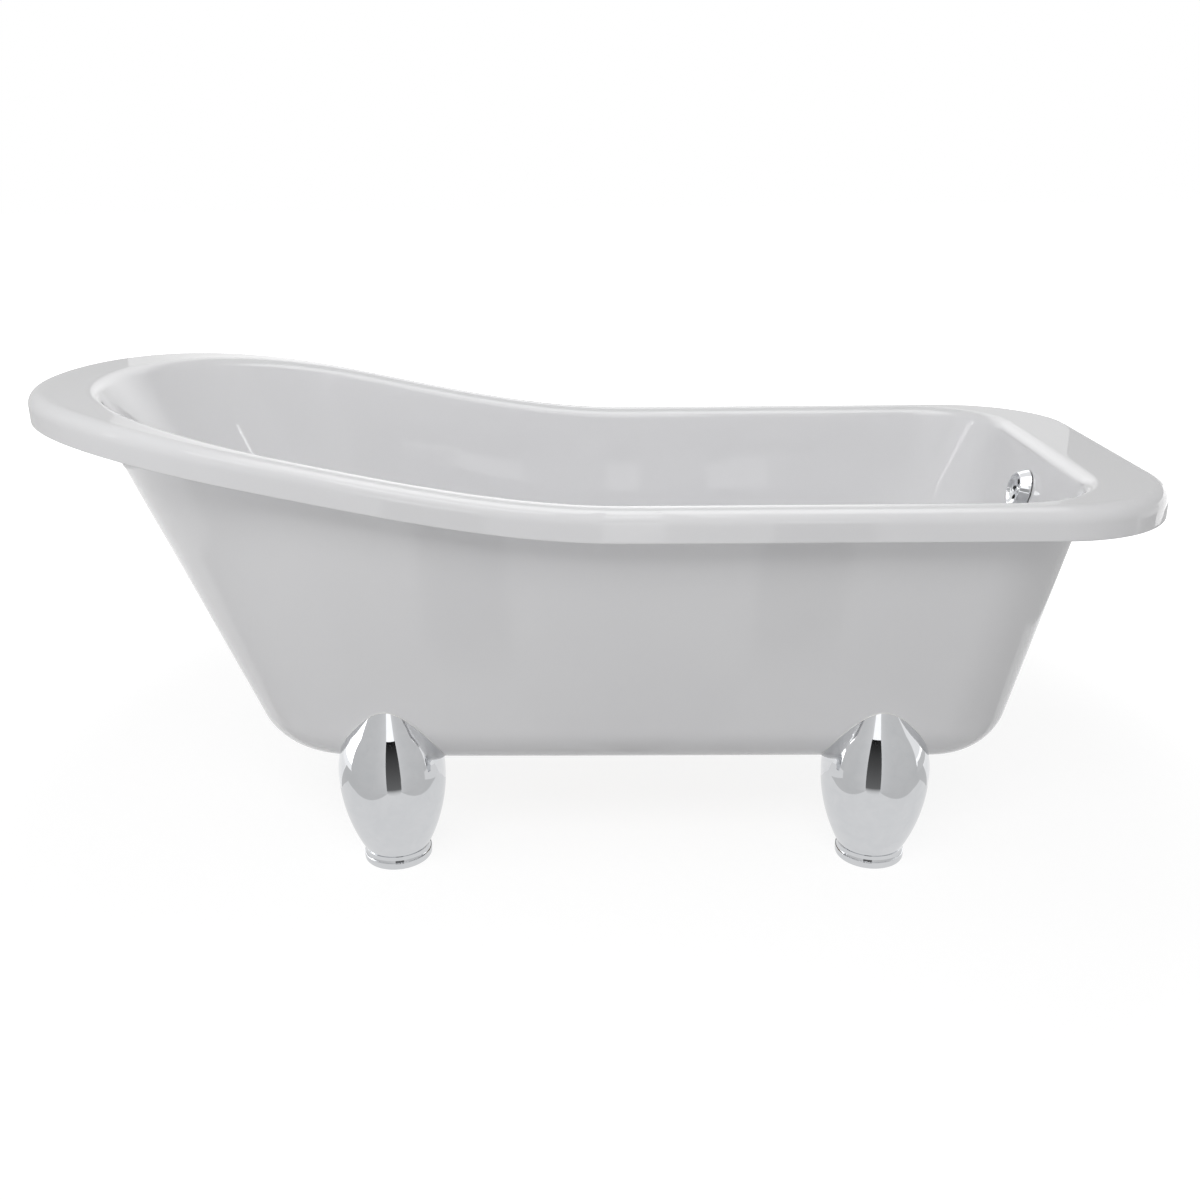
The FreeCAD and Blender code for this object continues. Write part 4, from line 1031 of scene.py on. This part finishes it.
# ------------------------------------------------------------------ feet
@dataclass
class Foot:
    """Hollow egg on a base ring, with the tongue that bolts under the bath."""

    end: str
    x: float
    y: float = 245.0
    belly: float = 82.5
    belly_level: float = 151.0
    lower_arc: float = 280.0
    upper_arc: float = 126.0
    shoulder: float = 226.0
    top: float = 275.0
    tip_drop: float = 7.0
    base: float = 50.0
    ring: float = 53.0
    ring_foot: float = 3.0
    ring_edge: float = 1.5
    ring_bow: float = 400.0
    ring_top: float = 12.0
    neck_level: float = 20.0
    neck_arc: float = 14.0
    wall: float = 5.0
    recess: Pair = (30.0, 18.0)
    boss: tuple[float, float, float] = (14.0, 26.0, 44.0)
    stud: float = 6.0
    bolt_span: Pair = (128.0, 168.0)
    tongue: tuple[float, float, float, float] = (28.0, 66.0, 138.0, 148.0)
    tongue_edge: float = 1.2
    rib: tuple[float, float, float] = (4.0, 112.0, 116.0)
    bury: float = 2.5
    past: float = 1.0
    gap: float = 1.0
    cone_steps: int = 12
    trim_sharp: float = 28.0

    def radius_at(self, level: float, arc_radius: float, belly: float) -> float:
        """Radius of an arc that has its widest point at the belly."""
        return belly - arc_radius + math.sqrt(arc_radius ** 2 - (level - self.belly_level) ** 2)

    def outside(self) -> list[Pair]:
        """Draw the outer profile.

        Returns:
            (radius, level) points from the middle of the base to the tip.
        """
        neck = self.radius_at(self.neck_level, self.lower_arc, self.belly)
        shoulder = self.radius_at(self.shoulder, self.upper_arc, self.belly)
        slope = (self.shoulder - self.belly_level) / (shoulder - self.belly + self.upper_arc)
        tip = self.top - self.tip_drop
        out = [(0.0, 0.0)] + chain(
            (self.base, 0.0), ((self.ring, self.ring_foot), self.ring_foot, 1, 6),
            ((self.ring, self.ring_top - self.ring_edge), self.ring_bow, 1, 2),
            ((self.ring - self.ring_edge, self.ring_top), self.ring_edge, 1, 4),
            ((neck, self.neck_level), self.neck_arc, -1, 6),
            ((self.belly, self.belly_level), self.lower_arc, 1, 56),
            ((shoulder, self.shoulder), self.upper_arc, 1, 34))
        for i in range(self.cone_steps + 1):
            level = self.shoulder + (tip - self.shoulder) * i / self.cone_steps
            out.append((shoulder - slope * (level - self.shoulder), level))
        return out + [(0.0, self.top)]

    def inside(self) -> list[Pair]:
        """Draw the profile of the hollow.

        Returns:
            (radius, level) points from the boss to the tip.
        """
        low, up, belly = (size - self.wall for size in (self.lower_arc, self.upper_arc,
                                                        self.belly))
        rise = (self.shoulder - self.belly_level) * up / self.upper_arc
        shoulder = self.radius_at(self.belly_level + rise, up, belly)
        slope = rise / (shoulder - belly + up)
        tip = self.top - self.tip_drop - self.wall
        r, deck, boss_top = self.boss
        out = [(0.0, boss_top), (r, boss_top), (r, deck)] + chain(
            (self.radius_at(deck, low, belly), deck), ((belly, self.belly_level), low, 1, 24),
            ((shoulder, self.belly_level + rise), up, 1, 14))
        return out + [(shoulder, self.belly_level + rise),
                      (shoulder - slope * (tip - self.belly_level - rise), tip), (0.0, tip)]

    def block(self, name: str, half: float, y: Pair, z: Pair, edge: float) -> bpy.types.Object:
        """Make a bar under the bath for the front foot.

        Args:
            name: object name.
            half: half its width.
            y: where it starts and stops, measured from the bath's middle.
            z: lower and upper level.
            edge: bevel of its edges, 0 for none.

        Returns:
            The bar.
        """
        body = bmesh.new()
        bmesh.ops.create_cube(body, size=1.0)
        for v in body.verts:
            v.co = Vector((self.x + v.co.x * 2 * half,
                           -(y[0] + y[1]) / 2 + v.co.y * (y[1] - y[0]),
                           (z[0] + z[1]) / 2 + v.co.z * (z[1] - z[0]))) * MM
        if edge:
            bmesh.ops.bevel(body, geom=body.edges[:], offset=edge * MM, segments=3, profile=0.5,
                            affect="EDGES")
        mesh = bpy.data.meshes.new(name)
        body.to_mesh(mesh)
        body.free()
        return linked(name, mesh)

    def drill(self, x: float, y: float, radius: float, low: float, high: float
              ) -> bpy.types.Object:
        """Make a round cutter on a vertical axis.

        Args:
            x: place along the bath.
            y: place across the bath.
            radius: radius.
            low: lower end.
            high: upper end.

        Returns:
            The cutter.
        """
        points, faces = spun([(0, low), (radius, low), (radius, high), (0, high)], 48)
        return write_mesh("drill", points + [x, y, 0], faces)

    def polish(self, piece: bpy.types.Object, near: float = 0.15, along: float = 0.97,
               lift: float = 0.05) -> None:
        """Give the egg its exact normals, so that the mirror shows no facets.

        Args:
            piece: the trimmed front foot.
            near: a point this close to the egg belongs to it.
            along: a face belongs to the egg where its normal agrees at least this well.
            lift: how far over the neck the egg starts.
        """
        mesh = piece.data
        corner = read_all(mesh.loops, "vertex_index", int)
        place = read_all(mesh.vertices, "co", width=3)[corner] / MM - [self.x, -self.y, 0]
        flat = np.repeat(read_all(mesh.polygons, "normal", width=3),
                         read_all(mesh.polygons, "loop_total", int), 0)
        soft = np.array([c.vector[:] for c in mesh.corner_normals])
        r, z = np.hypot(place[:, 0], place[:, 1]), place[:, 2]
        shoulder = self.radius_at(self.shoulder, self.upper_arc, self.belly)
        run = shoulder - self.belly + self.upper_arc
        rise = self.shoulder - self.belly_level
        size = np.where(z < self.belly_level, self.lower_arc, self.upper_arc)
        nr, nz = r - (self.belly - size), z - self.belly_level
        off = np.abs(np.hypot(nr, nz) - size)
        cone = z > self.shoulder
        nr, nz = np.where(cone, run, nr), np.where(cone, rise, nz)
        off = np.where(cone, np.abs((r - shoulder) * run + (z - self.shoulder) * rise)
                       / self.upper_arc, off)
        length = np.hypot(nr, nz)
        nr, nz = nr / length, nz / length
        r = np.maximum(r, POLE_RADIUS)
        exact = np.column_stack([nr * place[:, 0] / r, nr * place[:, 1] / r, nz])
        fits = ((off < near) & (z > self.neck_level + lift)
                & (np.sum(exact * flat, 1) > along))
        mesh.normals_split_custom_set(np.where(fits[:, None], exact, soft).tolist())

    def mirror(self, mesh: bpy.types.Mesh, normals: np.ndarray) -> None:
        """Turn a front foot's mesh into the back one's.

        Args:
            mesh: copy of the front foot's mesh.
            normals: corner normals of the front foot.
        """
        mesh.transform(Matrix.Diagonal((1.0, -1.0, 1.0, 1.0)))
        mesh.flip_normals()
        order: list[int] = []
        for face in mesh.polygons:
            ids = list(face.loop_indices)
            order += [ids[0]] + ids[:0:-1]
        mesh.normals_split_custom_set((normals[order] * [1, -1, 1]).tolist())

    def build(self) -> dict[Side, bpy.types.Object]:
        """Build the front foot and its mirror image at the back.

        Returns:
            The two feet by side.
        """
        (shell, shell_faces), (core, core_faces) = spun(self.outside(), 176), spun(self.inside())
        middle = [self.x, -self.y, 0]
        piece = write_mesh("foot_%s_front" % self.end, shell + middle, shell_faces)
        combined(piece, [write_mesh("hollow", core + middle, core_faces)], "DIFFERENCE")
        near = self.y - self.belly + self.bury
        half, start, low, high = self.tongue
        rib_half, rib_start, rib_low = self.rib
        combined(piece, [
            self.block("tongue", half, (start, near), (low, high), self.tongue_edge),
            self.block("rib", rib_half, (rib_start, near + self.bury), (rib_low, low), 0.0)],
            "UNION")
        tools = [self.drill(self.x, -self.y, self.recess[0], -self.past, self.recess[1]),
                 self.drill(self.x, -self.y, self.stud, -self.past, self.boss[2] + self.past)]
        tools += [self.drill(self.x + step, -BOLT_Y, BOLT_HOLE, *self.bolt_span)
                  for step in (-BOLT_STEP, BOLT_STEP)]
        combined(piece, tools, "DIFFERENCE")
        combined(piece, [hull_tool(self.gap)], "DIFFERENCE", self.trim_sharp)
        twin = linked("foot_%s_back" % self.end, piece.data.copy())
        twin.data.name = twin.name
        self.polish(piece)
        normals = np.array([c.vector[:] for c in piece.data.corner_normals])
        self.mirror(twin.data, normals)
        return {Side.FRONT: piece, Side.BACK: twin}


# ------------------------------------------------------------------ overflow cover
@dataclass
class OverflowCover:
    """Coned cover with a dished face and six round holes."""

    radius: float = 36.0
    front: float = 28.0
    depth: float = 18.0
    dish: float = 9.0
    wall: float = 4.0
    seal: float = 1.5
    middle: float = 8.0
    eye: float = 3.3
    hole: float = 4.2
    pitch: float = 15.0
    count: int = 6
    reach: float = 20.0

    def profile(self) -> list[Pair]:
        """Draw the section, from the wall over the rounded edge to the screw's eye and back.

        Returns:
            (radius, level) points.
        """
        f, r, d = self.front, self.radius, self.depth
        low, dish, back = self.seal, self.dish, self.dish - self.wall
        out = [(r - self.wall, low), (r - 0.6, low), (r, low + 0.6), (r, low + 1.9),
               (r - 0.35, low + 2.6)]
        out += chain((f + 1.2, d - 1.5), ((f - 1.5, d), 2.2, 1, 8), ((f - 3.5, d - 1.8), 2.1, 1, 6),
                     ((f - 5.5, dish + self.wall), 40.0, -1, 3), ((self.middle, dish), 17.0, -1, 16))
        return out + [(self.middle, dish), (self.eye + 0.2, dish), (self.eye, dish - 0.2),
                      (self.eye, back), (self.middle, back), (f - 5, dish),
                      (r - self.wall, low + 2.5)]

    def build(self) -> bpy.types.Object:
        """Build the cover on the wall.

        Returns:
            The cover.
        """
        piece = write_mesh("overflow_cover", *spun(self.profile(), 128))
        points, faces = spun([(0, 0), (self.hole, 0), (self.hole, self.reach), (0, self.reach)], 40)
        drills = []
        for k in range(self.count):
            w = math.radians(30 + 60 * k)
            drills.append(write_mesh("drill", points + [self.pitch * math.cos(w),
                                                        self.pitch * math.sin(w), 0], faces))
        combined(piece, drills, "DIFFERENCE", 30.0)
        piece.data.transform(WALL_PLACE)
        return piece


# ------------------------------------------------------------------ studio
def seen(tree: bpy.types.NodeTree) -> bpy.types.NodeSocket:
    """Tell the rays that show a thing from the rays that light something with it.

    Args:
        tree: node tree that receives the nodes.

    Returns:
        A socket that is 1 for camera, glossy and transmission rays, 0 for the others.
    """
    path = add_node(tree, "ShaderNodeLightPath")
    share = path.outputs["Is Camera Ray"]
    for name in ("Is Glossy Ray", "Is Transmission Ray"):
        share = add_node(tree, "ShaderNodeMath", {"operation": "MAXIMUM"},
                         {0: share, 1: path.outputs[name]}).outputs[0]
    return share


def grid(rows: int, count: int) -> list[tuple[int, int, int, int]]:
    """Quads of an open grid with this many rows of this many points."""
    return [(r * count + i, r * count + i + 1, (r + 1) * count + i + 1, (r + 1) * count + i)
            for r in range(rows - 1) for i in range(count - 1)]


@dataclass(frozen=True)
class Lamp:
    """Soft rectangular lamp: sizes and places in metres, power in watts."""

    name: str
    size: Pair
    place: tuple[float, float, float]
    target: tuple[float, float, float]
    power: float
    mirrored: bool = False

    def build(self) -> None:
        """Hang the lamp; only a mirrored one shows in reflections."""
        light = bpy.data.lights.new(self.name, "AREA")
        light.shape, light.energy = "RECTANGLE", self.power
        light.size, light.size_y = self.size
        lamp = linked(self.name, light)
        lamp.location = self.place
        aim = Vector(self.target) - Vector(self.place)
        lamp.rotation_euler = aim.to_track_quat("-Z", "Y").to_euler()
        lamp.visible_camera = False
        lamp.visible_glossy = self.mirrored


@dataclass(frozen=True)
class Card:
    """Card that only reflections see, with a brightness at each corner."""

    name: str
    corners: Sequence[tuple[float, float, float]]
    faces: Sequence[Sequence[int]]
    tones: Sequence[float]

    @classmethod
    def upright(cls, name: str, path: Sequence[Pair], levels: Sequence[float],
                tones: Sequence[Union[float, Sequence[float]]]) -> Card:
        """Make an upright card that bends along a path in plan.

        Args:
            name: card name.
            path: (x, y) points.
            levels: heights of its rows.
            tones: brightness of each row, as one number or as one for each path point.

        Returns:
            The card.
        """
        rows = [[t] * len(path) if isinstance(t, float) else t for t in tones]
        return cls(name, [(x, y, z) for z in levels for x, y in path],
                   grid(len(levels), len(path)), [t for row in rows for t in row])

    @classmethod
    def lying(cls, name: str, outline: Sequence[Pair], lift: float,
              tones: Sequence[float]) -> Card:
        """Make a flat card a fraction of a millimetre over the floor.

        Args:
            name: card name.
            outline: (x, y) points.
            lift: its height.
            tones: brightness of each point.

        Returns:
            The card.
        """
        return cls(name, [(x, y, lift) for x, y in outline], [range(len(outline))], tones)


@dataclass
class Studio:
    """White floor, soft lamps, reflection cards and the camera."""

    sky: float = 0.27
    floor_half: float = 30.0
    floor_colour: str = "#BFBFBF"
    floor_white: float = 1.40
    floor_share: float = 0.62
    floor_fade: Pair = (0.9, 2.2)
    foot_places: tuple[Pair, Pair] = ((-0.300, -0.245), (0.450, -0.245))
    gap: Pair = (-0.364, 0.476)
    gap_y: float = -1.95
    low_tone: float = 1.60
    high_tone: float = 0.40
    strip_tone: float = 6.0
    corner_tone: float = 9.0
    camera_place: tuple[float, float, float] = (0.0557, -1.907, 1.0316)
    pitch: float = 0.3481
    yaw: float = 0.0173
    roll: float = -0.0116
    lens: float = 35.90
    sensor: float = 36.0
    far: float = 200.0
    lamps: tuple[Lamp, ...] = (
        Lamp("softbox_key", (2.6, 1.3), (-0.4, -2.2, 2.8), (0.0, 0.0, 0.45), 33.0, True),
        Lamp("softbox_top", (2.4, 1.2), (0.0, 0.3, 2.8), (0.0, 0.0, 0.0), 9.0),
        Lamp("fill_front", (3.2, 0.9), (0.2, -2.7, 0.45), (0.1, 0.0, 0.40), 8.0),
        Lamp("fill_left", (1.4, 1.4), (-3.0, -1.3, 1.2), (-0.5, 0.0, 0.4), 15.0),
        Lamp("fill_right", (1.4, 1.4), (3.0, -1.0, 1.0), (0.6, 0.0, 0.4), 5.0),
        Lamp("fill_back", (3.2, 0.9), (0.1, 2.7, 0.6), (0.0, 0.0, 0.40), 16.0))

    def stage(self, card: Card, material: bpy.types.Material) -> bpy.types.Object:
        """Add a stage piece.

        Args:
            card: its name, points and faces.
            material: its material.

        Returns:
            The stage piece.
        """
        mesh = bpy.data.meshes.new(card.name)
        mesh.from_pydata([list(c) for c in card.corners], [], [list(f) for f in card.faces])
        mesh.materials.append(material)
        if len(card.tones):
            layer = mesh.color_attributes.new("tone", "FLOAT_COLOR", "POINT")
            layer.data.foreach_set("color", [c for t in card.tones for c in (t, t, t, 1.0)])
        piece = linked(card.name, mesh)
        return piece

    def floor(self) -> None:
        """White floor that keeps the shadow and runs out into white."""
        material = bpy.data.materials.new("studio_floor")
        tree = empty_tree(material)
        matt = add_node(tree, "ShaderNodeBsdfDiffuse", {"in:Color": linear(self.floor_colour)})
        white = add_node(tree, "ShaderNodeEmission", {"in:Color": (1, 1, 1, 1),
                                                      "in:Strength": self.floor_white})
        place = add_node(tree, "ShaderNodeTexCoord").outputs["Object"]
        away = add_node(tree, "ShaderNodeVectorMath", {"operation": "LENGTH"}, {0: place})
        far = add_node(tree, "ShaderNodeMapRange", {
            "interpolation_type": "SMOOTHSTEP", "in:From Min": self.floor_fade[0],
            "in:From Max": self.floor_fade[1], "in:To Min": self.floor_share, "in:To Max": 1.0},
            {"Value": away.outputs["Value"]})
        share = add_node(tree, "ShaderNodeMath", {"operation": "MULTIPLY"},
                         {0: seen(tree), 1: far.outputs[0]})
        mix = add_node(tree, "ShaderNodeMixShader", links={
            0: share.outputs[0], 1: matt.outputs[0], 2: white.outputs[0]})
        add_node(tree, "ShaderNodeOutputMaterial", links={"Surface": mix.outputs[0]})
        h = self.floor_half
        self.stage(Card.lying("studio_floor", [(-h, -h), (h, -h), (h, h), (-h, h)], 0.0, ()),
                   material)

    def world(self) -> None:
        """White where it is seen or mirrored, dimmer as a light."""
        world = bpy.data.worlds.new("studio")
        bpy.context.scene.world = world
        tree = empty_tree(world)
        power = add_node(tree, "ShaderNodeMapRange", {"in:To Min": self.sky, "in:To Max": 1.0},
                         {"Value": seen(tree)})
        back = add_node(tree, "ShaderNodeBackground", {"in:Color": (1, 1, 1, 1)},
                        {"Strength": power.outputs[0]})
        add_node(tree, "ShaderNodeOutputWorld", links={"Surface": back.outputs[0]})

    def front_cards(self) -> list[Card]:
        """Make the screens behind the camera: bright low down, grey above, with a dark gap.

        Returns:
            The cards.
        """
        (x0, x1), y, low, high = self.gap, self.gap_y, self.low_tone, self.high_tone
        levels = (0.0, 1.08, 1.10, 1.5, 1.65, 3.2, 6.0)
        tones = (low, low, high, high, (0.76, 0.68, 0.66, 0.64), (0.86, 0.74, 0.66, 0.60),
                 (0.90, 0.80, 0.72, 0.64))
        left = [(x0, y), (-0.85, y), (-1.5, -1.8), (-2.3, -1.1)]
        right = [(x1, y), (0.96, y), (1.6, -1.8), (2.4, -1.1)]
        return [Card.upright("screen_left", left, levels, tones),
                Card.upright("screen_right", right, levels, tones),
                Card.upright("screen_gap", [(-0.7, y - 0.1), (0.8, y - 0.1)],
                             (0.0, 1.08, 1.10, 1.88, 1.90, 6.0),
                             (low, low, high, high, 1.35, 1.35))]

    def floor_cards(self) -> list[Card]:
        """Make the cards on the floor that the skirt and the body mirror.

        Returns:
            The cards.
        """
        return [Card.lying(name, [(x0, y0), (x1, y0), (x1, y1), (x0, y1)], lift, [tone] * 4)
                for name, x0, y0, x1, y1, lift, tone in (
                    ("floor_grey", -1.7, -2.2, 1.9, -0.1, 3e-4, 0.62),
                    ("floor_left", -3.0, -1.2, -1.38, 1.6, 5e-4, 1.15),
                    ("floor_right", 1.25, -0.4, 3.0, 1.8, 5e-4, 0.66))]

    def back_cards(self) -> list[Card]:
        """Make the softbox and the screens behind the bath.

        Returns:
            The cards.
        """
        panel, grey = (1.0, 2.0, 2.3, 1.8, 1.0), ((0.60, 0.66), (0.66, 0.72))
        return [Card.upright("back_softbox", [(x, 2.5) for x in (-1.6, -0.7, 0.3, 1.0, 1.6)],
                             (0.9, 1.4, 2.5, 3.2), (1.0, panel, panel, 1.0))] + [
            Card.upright(name, [(x0, y), (x1, y)], (0.0, 0.85), tones)
            for name, x0, x1, y, tones in (("back_screen_left", -1.5, -0.25, 2.3, grey),
                                           ("back_screen_right", 0.40, 1.7, 2.3, grey),
                                           ("back_gap", -0.5, 0.6, 2.4, (0.10, 0.03)))]

    def side_cards(self) -> list[Card]:
        """Make the cards at both ends and over the bath.

        The two strips draw the streaks inside the basin's ends, the corner softbox the bright
        patch on the slipper end's skirt.

        Returns:
            The cards.
        """
        cards = [Card.upright(name, path, levels, (tone, tone)) for name, path, levels, tone in (
            ("end_left", [(-2.6, 0.45), (-2.3, 1.9)], (0.0, 1.2), 1.9),
            ("end_right", [(2.6, 0.45), (2.3, 1.9)], (0.0, 1.2), 1.9),
            ("side_left", [(-2.5, -1.25), (-2.6, 0.44)], (0.05, 2.0), 3.4),
            ("strip_slipper", [(2.6, 0.37), (2.6, 0.47)], (2.2, 2.56), self.strip_tone),
            ("strip_tap", [(-2.6, 0.48), (-2.6, 0.62)], (1.3, 2.1), self.strip_tone))]
        bend = ((1.36, -1.84, 1.50, 1.66), (1.87, -1.50, 0.98, 1.30), (2.36, -1.08, 0.62, 0.98))
        cards.append(Card("corner_softbox", [(x, y, z) for x, y, *zs in bend for z in zs],
                          [(0, 1, 3, 2), (2, 3, 5, 4)], [self.corner_tone] * 6))
        xs, ys, level = (-1.0, -0.2, 1.0, 1.7), (-1.3, -0.7, 0.1, 0.6), 2.85
        cards.append(Card("top_softbox", [(u, v, level) for v in ys for u in xs], grid(4, 4),
                          [4.2 if r in (1, 2) and i in (1, 2) else 1.0
                           for r in range(4) for i in range(4)]))
        return cards

    def foot_cards(self, k: int) -> list[Card]:
        """Make the cards of a front foot.

        Two grey screens with a dark gap between them draw the stripe down its front, a wing and
        a shoulder keep the light from its outer side, and a pale disc with a dark streak lies
        round it on the floor.

        Args:
            k: 0 for the foot at the slipper end, 1 for the other.

        Returns:
            The cards.
        """
        fx, fy = self.foot_places[k]
        face = math.atan2(self.camera_place[0] - fx, fy - self.camera_place[1])

        def at(turn: float, reach: float) -> Pair:
            """Place at an angle from the line to the camera and a distance."""
            w = face + math.radians(turn)
            return fx + reach * math.sin(w), fy - reach * math.cos(w)

        end, near, last = 2 * k - 1, 0.36, 58
        cards = [Card.upright("foot_screen_%d_%d" % (k, side),
                              [at(side * w, near) for w in (13.4, 20, 35, last)],
                              (0.0, 0.15, 0.75),
                              ([0.70, 0.66, 0.63, 0.62], [0.74, 0.69, 0.65, 0.64],
                               [0.82, 0.74, 0.70, 0.68])) for side in (-1, 1)]
        x, high, top = ((-0.90, 0.50, 1.2), (0.95, 0.62, 1.3))[k]
        disc, corner = 0.29, math.cos(math.radians(50))
        pale = [at(w, disc / (corner if w in (0, 100, -100) else 1))
                for w in (0, 50, 100, 180, -100, -50)]
        dark = [at(w, reach) for w, reach in ((-11, 0.34), (11, 0.34), (14, 0.46), (-14, 0.46))]
        return cards + [
            Card.upright("foot_wing_%d" % k, [at(end * last, near), (end * 1.6, -0.42)],
                         (0.0, 0.15, 0.85), ([0.62, 0.60], [0.64, 0.62], [0.68, 0.66])),
            Card.upright("shoulder_%d" % k, [(x, -0.42), (x, 0.45)], (high, top), (0.66, 0.68)),
            Card.upright("foot_gap_%d" % k, [at(w, 0.44) for w in (-16, -8, 0, 8, 16)],
                         (0.0, 0.25, 0.62), (0.16, 0.08, 0.0)),
            Card.lying("floor_light_%d" % k, pale, 6e-4, [0.82] * 6),
            Card.lying("floor_dark_%d" % k, dark, 9e-4, [0.80, 0.80, 0.16, 0.16])]

    def hang_cards(self) -> None:
        """Hang every card, with one material that glows as bright as the points say."""
        material = bpy.data.materials.new("studio_card")
        tree = empty_tree(material)
        tone = add_node(tree, "ShaderNodeAttribute", {"attribute_name": "tone"})
        lit = add_node(tree, "ShaderNodeEmission", links={"Color": tone.outputs["Color"]})
        add_node(tree, "ShaderNodeOutputMaterial", links={"Surface": lit.outputs[0]})
        cards = self.front_cards() + self.floor_cards() + self.back_cards() + self.side_cards()
        for card in cards + self.foot_cards(0) + self.foot_cards(1):
            piece = self.stage(card, material)
            piece.visible_camera = piece.visible_diffuse = piece.visible_shadow = False
            piece.visible_transmission = piece.visible_volume_scatter = False

    def camera(self) -> None:
        """Camera at the photograph's place and angle."""
        forward = Vector((-math.sin(self.yaw), math.cos(self.yaw), 0))
        right = Vector((math.cos(self.yaw), math.sin(self.yaw), 0))
        up = math.sin(self.pitch) * forward + math.cos(self.pitch) * Vector((0, 0, 1))
        ahead = math.cos(self.pitch) * forward - math.sin(self.pitch) * Vector((0, 0, 1))
        across = math.cos(self.roll) * right + math.sin(self.roll) * up
        above = -math.sin(self.roll) * right + math.cos(self.roll) * up
        data = bpy.data.cameras.new("camera")
        data.sensor_fit, data.sensor_width, data.lens = "HORIZONTAL", self.sensor, self.lens
        data.clip_end = self.far
        camera = linked("camera", data)
        turn = Matrix((across, above, -ahead)).transposed().to_4x4()
        camera.matrix_world = Matrix.Translation(self.camera_place) @ turn
        bpy.context.scene.camera = camera

    def build(self) -> None:
        """Set up the whole studio."""
        self.floor()
        self.world()
        for lamp in self.lamps:
            lamp.build()
        self.hang_cards()
        self.camera()
        bpy.context.scene.view_settings.view_transform = "Standard"


# ------------------------------------------------------------------ the kept solids
class Kept(Enum):
    """Solids that are shown as they are, by finish."""

    BOARD = ("base_board",)
    BRASS = ("board_inserts", "waste_cartridge")
    ZINC = ("foot_bolts", "foot_washers", "jam_nuts", "hose_clips")
    CHROME = ("overflow_screw", "waste_flange", "waste_plug")
    RUBBER = ("overflow_seal_front", "overflow_seal_rear", "waste_seal_upper",
              "waste_seal_lower", "plug_seal")
    WHITE = ("overflow_elbow", "waste_body")
    HOSE = ("overflow_hose",)
    STUD = tuple("adjuster_stud_" + corner for corner in CORNERS)
    PAD = tuple("adjuster_pad_" + corner for corner in CORNERS)
    GASKET = tuple("foot_gasket_" + corner for corner in CORNERS)


KEPT_FINISH = {
    Kept.BOARD: ChipBoard(),
    Kept.BRASS: TurnedMetal("turned_brass", "#D2AC62", "#B48A42"),
    Kept.ZINC: TurnedMetal("bright_zinc_steel", "#C9CDD1", "#A9AEB4", (0.28, 0.5)),
    Kept.CHROME: ChromePlate("chromed_fitting"),
    Kept.RUBBER: MouldedPolymer("nitrile_rubber", "#232323", "#171717", (0.5, 0.75), 1.2, 0.03),
    Kept.WHITE: MouldedPolymer("polypropylene_moulding", "#DAD9D3", "#CFCEC8", (0.3, 0.5)),
    Kept.HOSE: MouldedPolymer("hose_plastic", "#989B9E", "#888B8F", (0.4, 0.6), 3.0, 0.08),
    Kept.STUD: TurnedMetal("rolled_zinc_stud", "#C4C8CC", "#9FA4AA", (0.25, 0.45), 1.75),
    Kept.PAD: MouldedPolymer("nylon_pad", "#1F2023", "#16171A", (0.4, 0.6)),
    Kept.GASKET: MouldedPolymer("white_gasket", "#E6E6E3", "#DEDEDA", (0.45, 0.65)),
}


def clear_scene() -> None:
    """Remove whatever the start-up file holds."""
    for item in list(bpy.data.objects):
        bpy.data.objects.remove(item)


def main() -> None:
    """Load the frame, build and dress every piece, and light the bath."""
    logging.basicConfig(level=logging.INFO, format="%(message)s")
    clear_scene()
    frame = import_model()
    acrylic = FormedAcrylic("formed_acrylic_basin").material()
    body_acrylic = FormedAcrylic("formed_acrylic_body", gloss=(0.07, 0.13),
                                 wave_depth=0.10).material()
    backing = LaidGlassFibre().material()
    chrome = ChromePlate("chromed_casting").material()
    fit_out(Basin().build(), "tub", "inner_shell", [acrylic, backing])
    fit_out(OuterSkin().build(), "tub", "outer_skin", [body_acrylic, backing])
    for end, x in FOOT_X.items():
        for side, piece in Foot(end, x).build().items():
            fit_out(piece, "tub", "foot_%s_%s" % (end, side.name.lower()),
                    [chrome])
    fit_out(OverflowCover().build(), "tub", "overflow_bezel",
            [ChromePlate("chromed_cover").material()])
    for group, finish in KEPT_FINISH.items():
        dressed = finish.material()
        for name in group.value:
            mesh = frame["nodes"][name].data
            mesh.materials.clear()
            mesh.materials.append(dressed)
            LOG.info("%s keeps its solid in %s", name, dressed.name)
    Studio().build()


if __name__ == "__main__":
    main()
